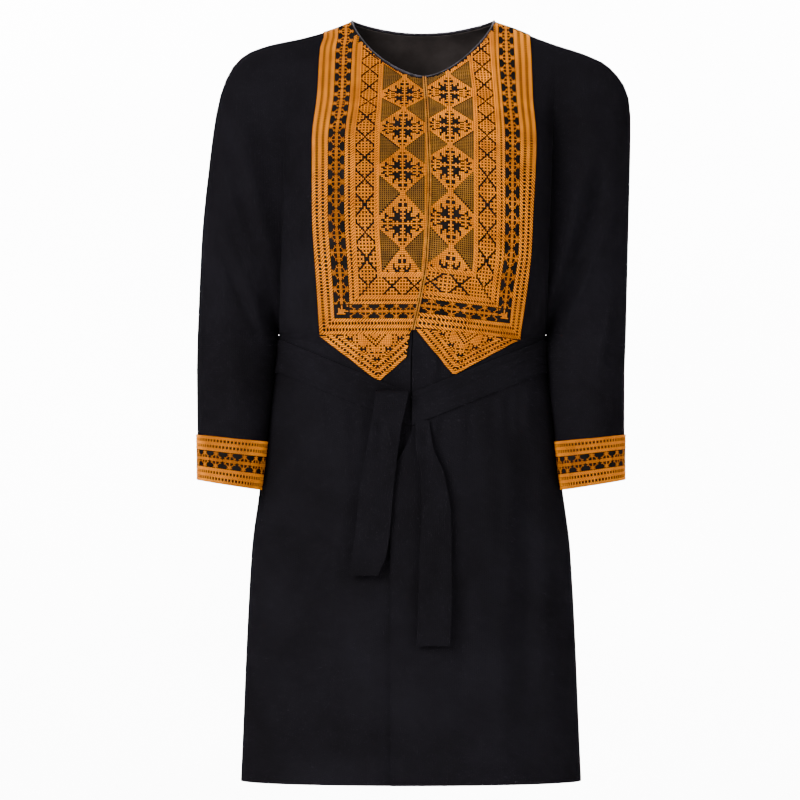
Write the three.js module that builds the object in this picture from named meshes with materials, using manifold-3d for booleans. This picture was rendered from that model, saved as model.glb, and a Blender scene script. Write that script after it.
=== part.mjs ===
/*
 * Manteau: a black coat, open down the front, in a kimono cut whose wide sleeves grow out of the body
 * without an armhole seam. An embroidered plastron lies on each front, an embroidered band goes round
 * each sleeve end, and a tied belt draws the waist in. It stands in its worn, hollow form.
 *
 * Millimetres, +Z up. The wearer faces -Y and the wearer's left is +X. The origin lies midway between
 * the two points where the shoulder line meets the neck. Heights are given as a drop: how far a point
 * lies below the origin.
 *
 * Each half of the coat is described by one outer surface, front and back. It has four fields:
 * the body above the waist, a fan of rings round the underarm, the sleeve, and the skirt. Panels are
 * walls inside that surface. Whatever lies on a panel is made from the panel's own points, moved out.
 */
import * as THREE from 'three';
import { mergeVertices } from 'three/addons/utils/BufferGeometryUtils.js';
import Module from 'manifold-3d';

const wasm = await Module();
wasm.setup();

// ---------------------------------------------------------------- driving dimensions

const CLOTH = 1.6; // wall of the coat's cloth
const EMBROIDERY = 1.4; // embroidered ground with its stitches
const BELT_CLOTH = 2.4; // belt strip, folded double
const SEAM_GAP = 0.3;
const LIE_GAP = 0.4; // air between a panel and what lies on it
const FRONT_EDGE_GAP = 0.6; // from the centre line to each front's edge
const CHEST_DROP = 200; // below it the body's section turns round towards the waist
const ROUND_POWER = 0.9; // 1 would be an ellipse
// the stiff plastrons keep the front flat to their outer edges
const CHEST_FLATNESS = { front: 5, back: 2.6 };

const BODY_HALF = 158; // centre line to the armhole line
const HEM_DROP = 900;
const NECK = { half: 84, frontDrop: 70, backDrop: 14, roundness: 1.35, flare: 1.6 };
// y values here say how far forward (-Y) of the shoulder line the arm and the side seam lie
const UNDERARM = { out: 158, drop: 372, radius: 6, forward: -8, outerForward: -6 };
const WRIST = { outerDrop: 543, innerDrop: 555, outerHalf: 252, forward: -30 };
const ARM_DEPTH = { underarm: 52, wrist: 45 };
const BELT = { frontDrop: 440, droop: 0.41, backDrop: 378, width: 39 };
const LAP = { width: 25, rise: 4, riseDrops: [400, 475], widthDrops: [480, 545] };
const LEAN = { shift: -14.2, fullDrop: 413 }; // the whole coat hangs a little to the wearer's right

// Half width of the coat's outline, right and left of its centre
const OUTLINE = [
  { drop: 0, right: 84, left: 84 },
  { drop: 9.5, right: 108, left: 112 },
  { drop: 19, right: 141, left: 135 },
  { drop: 28.5, right: 184, left: 162 },
  { drop: 38, right: 208, left: 192 },
  { drop: 52, right: 223, left: 221 },
  { drop: 81, right: 236, left: 244 },
  { drop: 104, right: 241, left: 250 },
  { drop: 152, right: 246.5, left: 251.5 },
  { drop: 271, right: 254, left: 252.7 },
  { drop: 413, right: 255, left: 254 },
];

// How far the body stands in front of and behind the shoulder line, on the centre line
const BODY_DEPTH = [
  { drop: 0, front: 0, back: 0 },
  { drop: 3, front: 13, back: 16 },
  { drop: 10, front: 24, back: 30 },
  { drop: 25, front: 39, back: 44 },
  { drop: 72, front: 83, back: 66 },
  { drop: 128, front: 129, back: 82 },
  { drop: 177, front: 150, back: 88 },
  { drop: 225, front: 155, back: 88 },
  { drop: 280, front: 147, back: 85 },
  { drop: 320, front: 133, back: 81 },
  { drop: 366, front: 113, back: 78 },
];

// Depth of the armhole ring, from the shoulder (along = 0) to the underarm (along = 1)
const ARMHOLE_DEPTH = [
  { along: 0, depth: 0 },
  { along: 0.01, depth: 13 },
  { along: 0.03, depth: 24 },
  { along: 0.07, depth: 36 },
  { along: 0.2, depth: 55 },
  { along: 0.37, depth: 63 },
  { along: 0.55, depth: 64 },
  { along: 0.7, depth: 58 },
  { along: 0.85, depth: 40 },
  { along: 0.93, depth: 26 },
  { along: 0.98, depth: 13 },
  { along: 1, depth: 0 },
];

// Sections through the waist and the skirt, by their drop below the belt's middle line
const SKIRT = [
  { below: -95, half: 163, front: 112, back: 82 },
  { below: -32, half: 155, front: 104, back: 80 },
  { below: -7.5, half: 157.6, front: 99.8, back: 78.3 },
  { below: 0, half: 158.2, front: 99, back: 78 },
  { below: 20, half: 160.4, front: 101, back: 80 },
  { below: 60, half: 167.5, front: 108, back: 92 },
  { below: 100, half: 172, front: 114, back: 101 },
  { below: 160, half: 180, front: 120, back: 109 },
  { below: 230, half: 189, front: 125, back: 114 },
  { below: 500, half: 202, front: 130, back: 122 },
];

// The front edges bow a little to the wearer's left over the chest
const CENTRE_BOW = [
  { drop: 0, shift: 0 },
  { drop: 30, shift: 0 },
  { drop: 72, shift: 4 },
  { drop: 116, shift: 8.5 },
  { drop: 211, shift: 14 },
  { drop: 282, shift: 13 },
  { drop: 330, shift: 7 },
  { drop: 366, shift: 0 },
];

// Inner edge of the sleeve below the underarm
const INNER_SLEEVE = [
  { drop: 372, half: 164 },
  { drop: 390, half: 162.4 },
  { drop: 410, half: 164 },
  { drop: 450, half: 168.8 },
  { drop: 500, half: 174.8 },
  { drop: 555, half: 178.4 },
];

// Largest folds: a soft ridge (rise > 0) or trough (rise < 0) from one point to another.
// Points are given as half width and drop; reach is half of the fold's width.
const FOLDS = [
  { side: 'right', face: 'front', half1: 230, drop1: 71, half2: 148, drop2: 362, rise: 9, reach: 13 },
  { side: 'right', face: 'front', half1: 241, drop1: 151, half2: 156, drop2: 364, rise: 8, reach: 11 },
  { side: 'right', face: 'front', half1: 138, drop1: 190, half2: 137, drop2: 372, rise: -7, reach: 10 },
  { side: 'right', face: 'front', half1: 250, drop1: 188, half2: 200, drop2: 472, rise: 6, reach: 16 },
  { side: 'right', face: 'front', half1: 143, drop1: 480, half2: 176, drop2: 760, rise: 7, reach: 14 },
  { side: 'right', face: 'front', half1: 106, drop1: 590, half2: 140, drop2: 870, rise: -7, reach: 18 },
  { side: 'left', face: 'front', half1: 187, drop1: 56, half2: 204, drop2: 160, rise: 9, reach: 14 },
  { side: 'left', face: 'front', half1: 204, drop1: 160, half2: 152, drop2: 366, rise: 10, reach: 14 },
  { side: 'left', face: 'front', half1: 160, drop1: 100, half2: 139, drop2: 361, rise: -9, reach: 11 },
  { side: 'left', face: 'front', half1: 220, drop1: 179, half2: 176, drop2: 352, rise: -9, reach: 11 },
  { side: 'left', face: 'front', half1: 251, drop1: 300, half2: 214, drop2: 433, rise: 7, reach: 13 },
  { side: 'left', face: 'front', half1: 141, drop1: 480, half2: 134, drop2: 820, rise: -10, reach: 16 },
  { side: 'left', face: 'front', half1: 160, drop1: 640, half2: 172, drop2: 890, rise: 6, reach: 15 },
  { side: 'right', face: 'back', half1: 214, drop1: 60, half2: 150, drop2: 362, rise: 9, reach: 14 },
  { side: 'right', face: 'back', half1: 120, drop1: 130, half2: 136, drop2: 360, rise: -8, reach: 13 },
  { side: 'right', face: 'back', half1: 60, drop1: 430, half2: 92, drop2: 890, rise: 8, reach: 18 },
  { side: 'right', face: 'back', half1: 128, drop1: 480, half2: 140, drop2: 860, rise: -9, reach: 17 },
  { side: 'left', face: 'back', half1: 225, drop1: 80, half2: 153, drop2: 364, rise: 9, reach: 13 },
  { side: 'left', face: 'back', half1: 132, drop1: 110, half2: 141, drop2: 360, rise: -8, reach: 12 },
  { side: 'left', face: 'back', half1: 80, drop1: 440, half2: 120, drop2: 890, rise: 9, reach: 19 },
  { side: 'left', face: 'back', half1: 30, drop1: 520, half2: 44, drop2: 880, rise: -8, reach: 18 },
];

// Outlines of the plastrons, from the shoulder down the outer edge, round the point and up
const PLASTRON_OUTLINES = {
  right: [
    { x: -116, drop: -20 }, { x: -119, drop: 20 }, { x: -122, drop: 52 }, { x: -127, drop: 91 },
    { x: -132, drop: 138 }, { x: -133, drop: 193 }, { x: -130.5, drop: 241 }, { x: -125, drop: 325 },
    { x: -121, drop: 370 }, { x: -53.4, drop: 426 }, { x: -17.8, drop: 394 }, { x: -14, drop: 366 },
    { x: 30, drop: 320 }, { x: 30, drop: -20 },
  ],
  left: [
    { x: 124, drop: -20 }, { x: 127, drop: 17 }, { x: 127.6, drop: 52 }, { x: 129.4, drop: 91 },
    { x: 133, drop: 128 }, { x: 137.5, drop: 160 }, { x: 136, drop: 184 }, { x: 131.5, drop: 204 },
    { x: 129, drop: 241 }, { x: 121, drop: 325 }, { x: 112, drop: 380 }, { x: 35.6, drop: 416 },
    { x: -11, drop: 363 }, { x: -30, drop: 320 }, { x: -30, drop: -20 },
  ],
};

// Hanging ends of the belt: left and right edge from the leaning centre, and how far each
// strip stands off the skirt
const TAILS = {
  right: [
    { drop: 445.2, from: -42.5, to: -4, lift: 8.2 },
    { drop: 480, from: -47.5, to: -11.5, lift: 8 },
    { drop: 515, from: -54, to: -16.5, lift: 6 },
    { drop: 548, from: -59.5, to: -20.5, lift: 5.5 },
    { drop: 598, from: -64.5, to: -24.5, lift: 5.5 },
    { drop: 630, from: -69, to: -29, lift: 6 },
    { drop: 654, from: -73.5, to: -39, lift: 7 },
  ],
  left: [
    { drop: 477.4, from: 5, to: 22, lift: 2.3 },
    { drop: 488, from: 5, to: 23.5, lift: 4.2 },
    { drop: 508, from: 6, to: 27, lift: 6.5 },
    { drop: 534, from: 11, to: 38, lift: 7 },
    { drop: 585, from: 12, to: 46, lift: 6.5 },
    { drop: 630, from: 10, to: 47, lift: 6 },
    { drop: 690, from: 8, to: 47, lift: 6 },
    { drop: 736, from: 6, to: 45, lift: 6.5 },
  ],
};

// ---------------------------------------------------------------- grids

const DEGREES = Math.PI / 180;
const RING_STEPS = 10;
const ALONG = Array.from(
  { length: RING_STEPS + 1 }, (_, i) => (1 - Math.cos((Math.PI * i) / RING_STEPS)) / 2,
);
const COLUMNS = [0, 8.5, 17, 24.5, 29.5, 32.1, 42, 53, 64, 76, 90].map((degrees) => degrees * DEGREES);
const FAN = [0, 6, 13, 21, 30, 42, 56, 72, 90].map((degrees) => degrees * DEGREES);
const CUFF_START = 0.685;
const SLEEVE = [0, 0.17, 0.34, 0.51, CUFF_START, 0.84, 1];
const SKIRT_ROWS = [0.09, 0.2, 0.35, 0.52, 0.7, 0.86, 1]; // from the belt's lower edge to the hem
const BELT_TOP_ROW = 2;
const BELT_LOW_ROW = 4;
const FACING_ROW = 3;
const SIDES = [
  { name: 'right', sign: -1 },
  { name: 'left', sign: 1 },
];
const FACES = ['front', 'back'];

// ---------------------------------------------------------------- curves

const clamp = (value, low, high) => Math.min(Math.max(value, low), high);
const mix = (a, b, share) => a + (b - a) * share;
const smooth = (value, low, high) => {
  const share = clamp((value - low) / (high - low), 0, 1);
  return share * share * (3 - 2 * share);
};

/** A smooth curve through a table's rows that never overshoots them. */
function curve(rows, from, to) {
  const at = rows.map((row) => row[from]);
  const value = rows.map((row) => row[to]);
  const last = rows.length - 1;
  const secant = (i) => (value[i + 1] - value[i]) / (at[i + 1] - at[i]);
  const slopes = rows.map((_, i) => {
    if (i === 0) return secant(0);
    if (i === last) return secant(last - 1);
    const [before, after] = [secant(i - 1), secant(i)];
    return before * after <= 0 ? 0 : (2 * before * after) / (before + after);
  });
  return (where) => {
    const x = clamp(where, at[0], at[last]);
    let i = 0;
    while (i < last - 1 && x > at[i + 1]) i += 1;
    const step = at[i + 1] - at[i];
    const t = (x - at[i]) / step;
    const rise = t * t * (3 - 2 * t);
    const ease = t * (1 - t);
    return mix(value[i], value[i + 1], rise) + step * ease * ((1 - t) * slopes[i] - t * slopes[i + 1]);
  };
}

const outlineHalf = { right: curve(OUTLINE, 'drop', 'right'), left: curve(OUTLINE, 'drop', 'left') };
const shoulderDrop = { right: curve(OUTLINE, 'right', 'drop'), left: curve(OUTLINE, 'left', 'drop') };
const bodyDepth = { front: curve(BODY_DEPTH, 'drop', 'front'), back: curve(BODY_DEPTH, 'drop', 'back') };
const armholeDepth = curve(ARMHOLE_DEPTH, 'along', 'depth');
const skirtHalf = curve(SKIRT, 'below', 'half');
const skirtDepth = { front: curve(SKIRT, 'below', 'front'), back: curve(SKIRT, 'below', 'back') };
const centreBow = curve(CENTRE_BOW, 'drop', 'shift');
const innerSleeve = curve(INNER_SLEEVE, 'drop', 'half');

// ---------------------------------------------------------------- the coat's outer surface

const lean = (drop) => LEAN.shift * clamp(drop / LEAN.fullDrop, 0, 1);
const outward = (face) => (face === 'front' ? -1 : 1);

/** Height of the folds at a place on one face of one side. */
function foldRise(side, face, half, drop) {
  let rise = 0;
  for (const fold of FOLDS) {
    if (fold.side !== side.name || fold.face !== face) continue;
    const run = { half: fold.half2 - fold.half1, drop: fold.drop2 - fold.drop1 };
    const length = Math.hypot(run.half, run.drop);
    const along = ((half - fold.half1) * run.half + (drop - fold.drop1) * run.drop) / length;
    const across = ((half - fold.half1) * run.drop - (drop - fold.drop1) * run.half) / length;
    const fade = (left) => smooth(left, -fold.reach, 3 * fold.reach);
    const taper = fade(along) * fade(length - along);
    rise += fold.rise * taper * Math.exp(-((across / fold.reach) ** 2));
  }
  return rise;
}

/** A point from its half width, drop, depth from the shoulder plane and share of the folds. */
function place(side, face, half, drop, y, foldShare) {
  const bow = face === 'front' ? centreBow(drop) * clamp(1 - half / BODY_HALF, 0, 1) : 0;
  const x = lean(drop) + bow + side.sign * half;
  return new THREE.Vector3(x, y + outward(face) * foldShare * foldRise(side, face, half, drop), -drop);
}

/** Drop of the body's top edge: the neckline, then the shoulder line. */
function topDrop(side, face, half) {
  if (half >= NECK.half) return shoulderDrop[side.name](half);
  const share = half / NECK.half;
  if (face === 'back') return NECK.backDrop * (1 - share ** 2);
  return NECK.frontDrop * (1 - share ** NECK.flare) ** (1 / NECK.roundness);
}

/** Folds fade out towards the seams at both ends of a ring. */
const foldFade = (along) => Math.min(1, 2.2 * Math.sqrt(Math.max(along * (1 - along), 0)));
const UNDERARM_TOP = UNDERARM.drop - UNDERARM.radius;

function bodyPoint(side, face, column, along) {
  const half = BODY_HALF * Math.sin(column);
  const shoulder = half > NECK.half ? shoulderDrop[side.name](half) : 0;
  const drop = mix(topDrop(side, face, half), UNDERARM_TOP, along);
  const below = drop - shoulder;
  const ring = below / (UNDERARM_TOP - shoulder);
  const middle = UNDERARM.forward * ring;
  const sideDepth = armholeDepth(ring) + outward(face) * middle;
  const share = Math.sin(column);
  const flat = 1 - share ** CHEST_FLATNESS[face];
  const round = Math.cos(column) ** ROUND_POWER;
  const shape = mix(flat, round, smooth(drop, CHEST_DROP, UNDERARM_TOP));
  const depth = mix(sideDepth, bodyDepth[face](below), Math.max(shape, 0));
  const foldShare = mix(1, foldFade(ring), share ** 4) * Math.min(1, along * 20 + (half < NECK.half ? 1 : 0));
  return place(side, face, half, drop, outward(face) * depth, foldShare);
}

/** Distance from the underarm centre to the outline, in a direction given from straight up. */
function reachOutline(side, angle) {
  let [near, far] = [UNDERARM.radius, 500];
  while (far - near > 0.01) {
    const reach = (near + far) / 2;
    const drop = UNDERARM.drop - reach * Math.cos(angle);
    const inside = drop > 0 && UNDERARM.out + reach * Math.sin(angle) < outlineHalf[side.name](drop);
    if (inside) near = reach;
    else far = reach;
  }
  return near;
}

function fanPoint(side, face, angle, along) {
  if (angle === 0) return bodyPoint(side, face, Math.PI / 2, along);
  const outer = reachOutline(side, angle);
  const reach = mix(outer, UNDERARM.radius, along);
  const half = UNDERARM.out + reach * Math.sin(angle);
  const drop = UNDERARM.drop - reach * Math.cos(angle);
  const turned = smooth(angle, 0, Math.PI / 2);
  const depth = mix(armholeDepth(along), ringDepth(ARM_DEPTH.underarm, along), turned);
  const middle = mix((UNDERARM.outerForward * angle) / (Math.PI / 2), UNDERARM.forward, along);
  return place(side, face, half, drop, middle + outward(face) * depth, foldFade(along));
}

const ringDepth = (depth, along) => depth * Math.sqrt(Math.max(1 - (2 * along - 1) ** 2, 0));

function sleevePoint(side, face, down, along) {
  if (down === 0) return fanPoint(side, face, Math.PI / 2, along);
  const innerDrop = mix(UNDERARM.drop, WRIST.innerDrop, down);
  const outerDrop = mix(UNDERARM.drop, WRIST.outerDrop, down);
  const drop = mix(outerDrop, innerDrop, along);
  const outerHalf = mix(outlineHalf[side.name](UNDERARM.drop), WRIST.outerHalf, down);
  const half = mix(outerHalf, innerSleeve(innerDrop), along);
  const depth = ringDepth(mix(ARM_DEPTH.underarm, ARM_DEPTH.wrist, down), along);
  const underarmMiddle = mix(UNDERARM.outerForward, UNDERARM.forward, along);
  const middle = mix(underarmMiddle, WRIST.forward, smooth(down, -0.15, 1));
  return place(side, face, half, drop, middle + outward(face) * depth, foldFade(along));
}

/** Drop of the belt's upper edge, which dips to the knot in front and runs level behind. */
function beltTop(face, column) {
  if (face === 'back') return BELT.backDrop;
  return Math.max(BELT.frontDrop - BELT.droop * BODY_HALF * Math.sin(column), BELT.backDrop);
}

/** How much of the left front's lap over the right front there is at a drop: its rise or its width. */
const lapShare = (side, face, drop, drops) =>
  side.name === 'left' && face === 'front' ? smooth(drop, ...drops) : 0;

function skirtPointAt(side, face, column, drop) {
  const below = drop - beltTop(face, column) - BELT.width / 2;
  const share = Math.sin(column);
  const half = skirtHalf(below) * share;
  const rise = LAP.rise * lapShare(side, face, drop, LAP.riseDrops);
  const lap = LAP.width * lapShare(side, face, drop, LAP.widthDrops);
  const middle = UNDERARM.forward * (1 - smooth(drop, BELT.frontDrop, HEM_DROP));
  const shape = Math.cos(column) ** ROUND_POWER;
  const depth = mix(outward(face) * middle, skirtDepth[face](below), shape) + rise * (1 - share) ** 1.5;
  const foldShare = mix(1, 0, share ** 4);
  const point = place(side, face, half, drop, outward(face) * depth, foldShare);
  point.x -= side.sign * lap * (1 - share) ** 6;
  return point;
}

function skirtPoint(side, face, column, row) {
  const top = beltTop(face, column);
  const low = top + BELT.width;
  if (row === 0) return bodyPoint(side, face, column, 1);
  if (row === 1) return skirtPointAt(side, face, column, mix(UNDERARM_TOP, top, 0.5));
  if (row <= BELT_LOW_ROW) return skirtPointAt(side, face, column, mix(top, low, (row - BELT_TOP_ROW) / 2));
  return skirtPointAt(side, face, column, mix(low, HEM_DROP, SKIRT_ROWS[row - BELT_LOW_ROW - 1]));
}

// ---------------------------------------------------------------- sheets: points, faces and normals

const LAST_COLUMN = COLUMNS.length - 1;
const LAST_SKIRT_ROW = BELT_LOW_ROW + SKIRT_ROWS.length;

const FIELDS = {
  body: {
    size: [LAST_COLUMN, RING_STEPS],
    point: (side, face, a, b) => bodyPoint(side, face, COLUMNS[a], ALONG[b]),
  },
  fan: {
    size: [FAN.length - 1, RING_STEPS],
    point: (side, face, a, b) => fanPoint(side, face, FAN[a], ALONG[b]),
  },
  sleeve: {
    size: [SLEEVE.length - 1, RING_STEPS],
    point: (side, face, a, b) => sleevePoint(side, face, SLEEVE[a], ALONG[b]),
  },
  skirt: {
    size: [LAST_COLUMN, LAST_SKIRT_ROW],
    point: (side, face, a, b) => skirtPoint(side, face, COLUMNS[a], b),
  },
};

const keyOf = (point) => [point.x, point.y, point.z].map((value) => Math.round(value * 500)).join(',');

/** Part of a half coat's surface: the chosen cells of the chosen fields, as points and triangles. */
function sheetOf(side, face, choices) {
  const points = [];
  const keys = [];
  const triangles = [];
  const indexOf = (point) => {
    const key = keyOf(point);
    if (!keys.includes(key)) {
      keys.push(key);
      points.push(point);
    }
    return keys.indexOf(key);
  };
  const reversed = side.sign * outward(face) < 0;
  for (const { field, across, down } of choices) {
    const { point } = FIELDS[field];
    for (let a = across[0]; a < across[1]; a += 1) {
      for (let b = down[0]; b < down[1]; b += 1) {
        const cell = [[a, b], [a + 1, b], [a + 1, b + 1], [a, b + 1]];
        const corners = cell.map(([i, j]) => indexOf(point(side, face, i, j)));
        for (const triangle of [[0, 1, 2], [0, 2, 3]].map((picks) => picks.map((pick) => corners[pick]))) {
          if (new Set(triangle).size === 3) triangles.push(reversed ? [...triangle].reverse() : triangle);
        }
      }
    }
  }
  return { side, face, points, keys, triangles };
}

const wholeOf = (field) => ({ field, across: [0, FIELDS[field].size[0]], down: [0, FIELDS[field].size[1]] });
const WHOLE_PANEL = Object.keys(FIELDS).map(wholeOf);

const centreKeys = (side, face) =>
  new Set(['body', 'skirt'].flatMap((field) => {
    const rows = Array.from({ length: FIELDS[field].size[1] + 1 }, (_, row) => row);
    return rows.map((row) => keyOf(FIELDS[field].point(side, face, 0, row)));
  }));

/** Normals of one side of the coat, front and back together, by point. */
function normalsOf(side) {
  const sums = new Map();
  const seen = new Map();
  for (const face of FACES) {
    const { points, triangles } = sheetOf(side, face, WHOLE_PANEL);
    for (const triangle of triangles) {
      const [a, b, c] = triangle.map((index) => points[index]);
      const normal = b.clone().sub(a).cross(c.clone().sub(a));
      for (const point of [a, b, c]) {
        const key = keyOf(point);
        if (!sums.has(key)) sums.set(key, new THREE.Vector3());
        sums.get(key).add(normal);
      }
    }
    for (const point of points) seen.set(keyOf(point), (seen.get(keyOf(point)) ?? 0) + 1);
    for (const key of centreKeys(side, face)) sums.get(key).x = 0;
  }
  const seams = new Set([...seen].filter(([, count]) => count > 1).map(([key]) => key));
  for (const key of seams) sums.get(key).y = 0;
  for (const normal of sums.values()) normal.normalize();
  return { normals: sums, seams };
}

const SURFACE = Object.fromEntries(SIDES.map((side) => [side.name, normalsOf(side)]));

/** Closes a sheet into a wall between two distances from its surface, measured outwards. */
function wallOf({ points, triangles }, normals, inner, outer) {
  const count = points.length;
  const at = (distance) => points.map((point, i) => point.clone().addScaledVector(normals[i], distance));
  const positions = [...at(outer), ...at(inner)].flatMap((point) => point.toArray());
  const edges = new Map();
  for (const [a, b, c] of triangles) {
    for (const [p, q] of [[a, b], [b, c], [c, a]]) edges.set(`${p},${q}`, [p, q]);
  }
  const faces = [...triangles, ...triangles.map(([a, b, c]) => [c + count, b + count, a + count])];
  for (const [p, q] of edges.values()) {
    if (!edges.has(`${q},${p}`)) faces.push([q, p, p + count], [q, p + count, q + count]);
  }
  const geometry = new THREE.BufferGeometry();
  geometry.setAttribute('position', new THREE.Float32BufferAttribute(positions, 3));
  geometry.setIndex(faces.flat());
  return geometry;
}

/** Parts a sheet from its neighbour along the shoulder, sleeve and side seams. */
function openSideSeams(sheet) {
  const { seams } = SURFACE[sheet.side.name];
  sheet.points.forEach((point, i) => {
    if (seams.has(sheet.keys[i])) point.y += (outward(sheet.face) * SEAM_GAP) / 2;
  });
  return sheet;
}

/** Moves a sheet's points on the centre line off it, for the seam behind and the opening in front. */
function openCentre(sheet) {
  const gap = sheet.face === 'front' ? FRONT_EDGE_GAP : SEAM_GAP / 2;
  const centre = CENTRE_KEYS[sheet.side.name][sheet.face];
  sheet.points.forEach((point, i) => {
    if (centre.has(sheet.keys[i])) point.x += sheet.side.sign * gap;
  });
  return sheet;
}

const CENTRE_KEYS = Object.fromEntries(
  SIDES.map((side) => [side.name, { front: centreKeys(side, 'front'), back: centreKeys(side, 'back') }]),
);

/** Joins sheets along the points that they share and closes them into one wall. */
function joinedWall(sheets, inner, outer) {
  const points = [];
  const normals = [];
  const keys = [];
  const triangles = sheets.flatMap((sheet) =>
    sheet.triangles.map((triangle) =>
      triangle.map((index) => {
        const key = sheet.keys[index];
        if (!keys.includes(key)) {
          keys.push(key);
          points.push(sheet.points[index]);
          normals.push(SURFACE[sheet.side.name].normals.get(key));
        }
        return keys.indexOf(key);
      }),
    ),
  );
  return wallOf({ points, triangles }, normals, inner, outer);
}

/** A wall on one face of one side, parted from its neighbours: a panel, or something that lies on it. */
const clothPiece = (side, face, choices, inner, outer) =>
  joinedWall([openCentre(openSideSeams(sheetOf(side, face, choices)))], inner, outer);

// ---------------------------------------------------------------- joining and cutting

function toManifold(geometry) {
  const bare = geometry.clone();
  bare.deleteAttribute('normal');
  bare.deleteAttribute('uv');
  const merged = mergeVertices(bare, 1e-4);
  const vertProperties = Float32Array.from(merged.attributes.position.array);
  const triVerts = Uint32Array.from(merged.index.array);
  return new wasm.Manifold(new wasm.Mesh({ numProp: 3, vertProperties, triVerts }));
}

function toGeometry(manifold) {
  const mesh = manifold.getMesh();
  const geometry = new THREE.BufferGeometry();
  const positions = Float32Array.from(mesh.vertProperties);
  geometry.setAttribute('position', new THREE.Float32BufferAttribute(positions, 3));
  geometry.setIndex(Array.from(mesh.triVerts));
  return geometry;
}

/** Keeps what lies in front of the shoulder plane inside an outline seen from the front. */
function cutToOutline(geometry, outline) {
  const shape = new THREE.Shape(outline.map(({ x, drop }) => new THREE.Vector2(x, -drop)));
  const prism = new THREE.ExtrudeGeometry(shape, { depth: 300, bevelEnabled: false });
  prism.rotateX(Math.PI / 2);
  return toGeometry(toManifold(geometry).intersect(toManifold(prism)));
}

// ---------------------------------------------------------------- pieces

const FINISH = {
  cloth: { color: 0x17161b, roughness: 0.9, metalness: 0 },
  embroidery: { color: 0xd98a1f, roughness: 0.6, metalness: 0 },
  piping: { color: 0xb8741c, roughness: 0.6, metalness: 0 },
  binding: { color: 0x2b2a30, roughness: 0.85, metalness: 0 },
};

const manteau = new THREE.Group();

function addPiece(name, geometry, finish) {
  geometry.computeVertexNormals();
  const mesh = new THREE.Mesh(geometry, new THREE.MeshStandardMaterial(FINISH[finish]));
  mesh.name = name;
  manteau.add(mesh);
}

function addPanels(side) {
  for (const face of FACES) {
    addPiece(`${face}_${side.name}`, clothPiece(side, face, WHOLE_PANEL, -CLOTH, 0), 'cloth');
  }
}

function addPlastron(side) {
  const choices = [
    { field: 'body', across: [0, LAST_COLUMN - 1], down: [0, RING_STEPS] },
    { field: 'skirt', across: [0, LAST_COLUMN - 1], down: [0, BELT_TOP_ROW] },
  ];
  const whole = clothPiece(side, 'front', choices, LIE_GAP, LIE_GAP + EMBROIDERY);
  addPiece(`plastron_${side.name}`, cutToOutline(whole, PLASTRON_OUTLINES[side.name]), 'embroidery');
}

/** Points along the front edge, moved out from the surface and in from the edge. */
function frontEdge(side, out, inset) {
  const { normals } = SURFACE[side.name];
  return ALONG.map((_, row) => {
    const point = FIELDS.body.point(side, 'front', 0, row);
    const aside = new THREE.Vector3(side.sign * inset, 0, 0);
    return point.clone().addScaledVector(normals.get(keyOf(point)), out).add(aside);
  });
}

/** A round cord along points, with a many-sided section. */
function cordGeometry(points, radius, sides, steps) {
  const section = new THREE.Shape(
    Array.from({ length: sides }, (_, i) => {
      const angle = (2 * Math.PI * i) / sides;
      return new THREE.Vector2(radius * Math.cos(angle), radius * Math.sin(angle));
    }),
  );
  const path = new THREE.CatmullRomCurve3(points);
  const cord = new THREE.ExtrudeGeometry(section, { steps, extrudePath: path, bevelEnabled: false });
  return toGeometry(toManifold(cord));
}

const PIPING = { radius: 1, inset: 1.8, steps: 14, sides: 5 };

function addEdgePiping(side) {
  const out = LIE_GAP + EMBROIDERY + LIE_GAP + PIPING.radius;
  const points = frontEdge(side, out, FRONT_EDGE_GAP + PIPING.inset);
  const cord = cordGeometry(points, PIPING.radius, PIPING.sides, PIPING.steps);
  addPiece(`edge_piping_${side.name}`, cord, 'piping');
}

const BINDING = { radius: 1.5, gap: 0.95, steps: 48, sides: 5 };
const NECK_COLUMN = 5;

/** The neckline as one line of points: right front, back, left front, set off the cloth's edge. */
function necklinePoints() {
  const runs = [
    [SIDES[0], 'front', [0, 1, 2, 3, 4]],
    [SIDES[0], 'back', [5, 4, 3, 2, 1]],
    [SIDES[1], 'back', [0, 1, 2, 3, 4]],
    [SIDES[1], 'front', [5, 4, 3, 2, 1, 0]],
  ];
  const rim = runs.flatMap(([side, face, columns]) =>
    columns.map((column) => {
      const point = FIELDS.body.point(side, face, column, 0);
      const normal = SURFACE[side.name].normals.get(keyOf(point));
      return { point, normal };
    }),
  );
  const middle = new THREE.Vector3(0, -16, 20);
  const set = rim.map(({ point, normal }, i) => {
    const before = rim[Math.max(i - 1, 0)].point;
    const after = rim[Math.min(i + 1, rim.length - 1)].point;
    const off = after.clone().sub(before).cross(normal).normalize();
    if (off.dot(middle.clone().sub(point)) < 0) off.negate();
    return point.clone().addScaledVector(off, BINDING.radius + BINDING.gap);
  });
  return set.flatMap((point, i) => (i === 0 ? [point] : [set[i - 1].clone().lerp(point, 0.5), point]));
}

function addCuffBand(side) {
  const last = FIELDS.sleeve.size[0];
  const choices = [{ field: 'sleeve', across: [SLEEVE.indexOf(CUFF_START), last], down: [0, RING_STEPS] }];
  const sheets = FACES.map((face) => sheetOf(side, face, choices));
  addPiece(`cuff_band_${side.name}`, joinedWall(sheets, LIE_GAP, LIE_GAP + EMBROIDERY), 'embroidery');
}

const FACING_CLOTH = 1;

function addBackNeckFacing() {
  const choices = [{ field: 'body', across: [0, NECK_COLUMN], down: [0, FACING_ROW] }];
  const sheets = SIDES.map((side) => sheetOf(side, 'back', choices));
  const outer = -CLOTH - LIE_GAP;
  addPiece('back_neck_facing', joinedWall(sheets, outer - FACING_CLOTH, outer), 'cloth');
}

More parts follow.
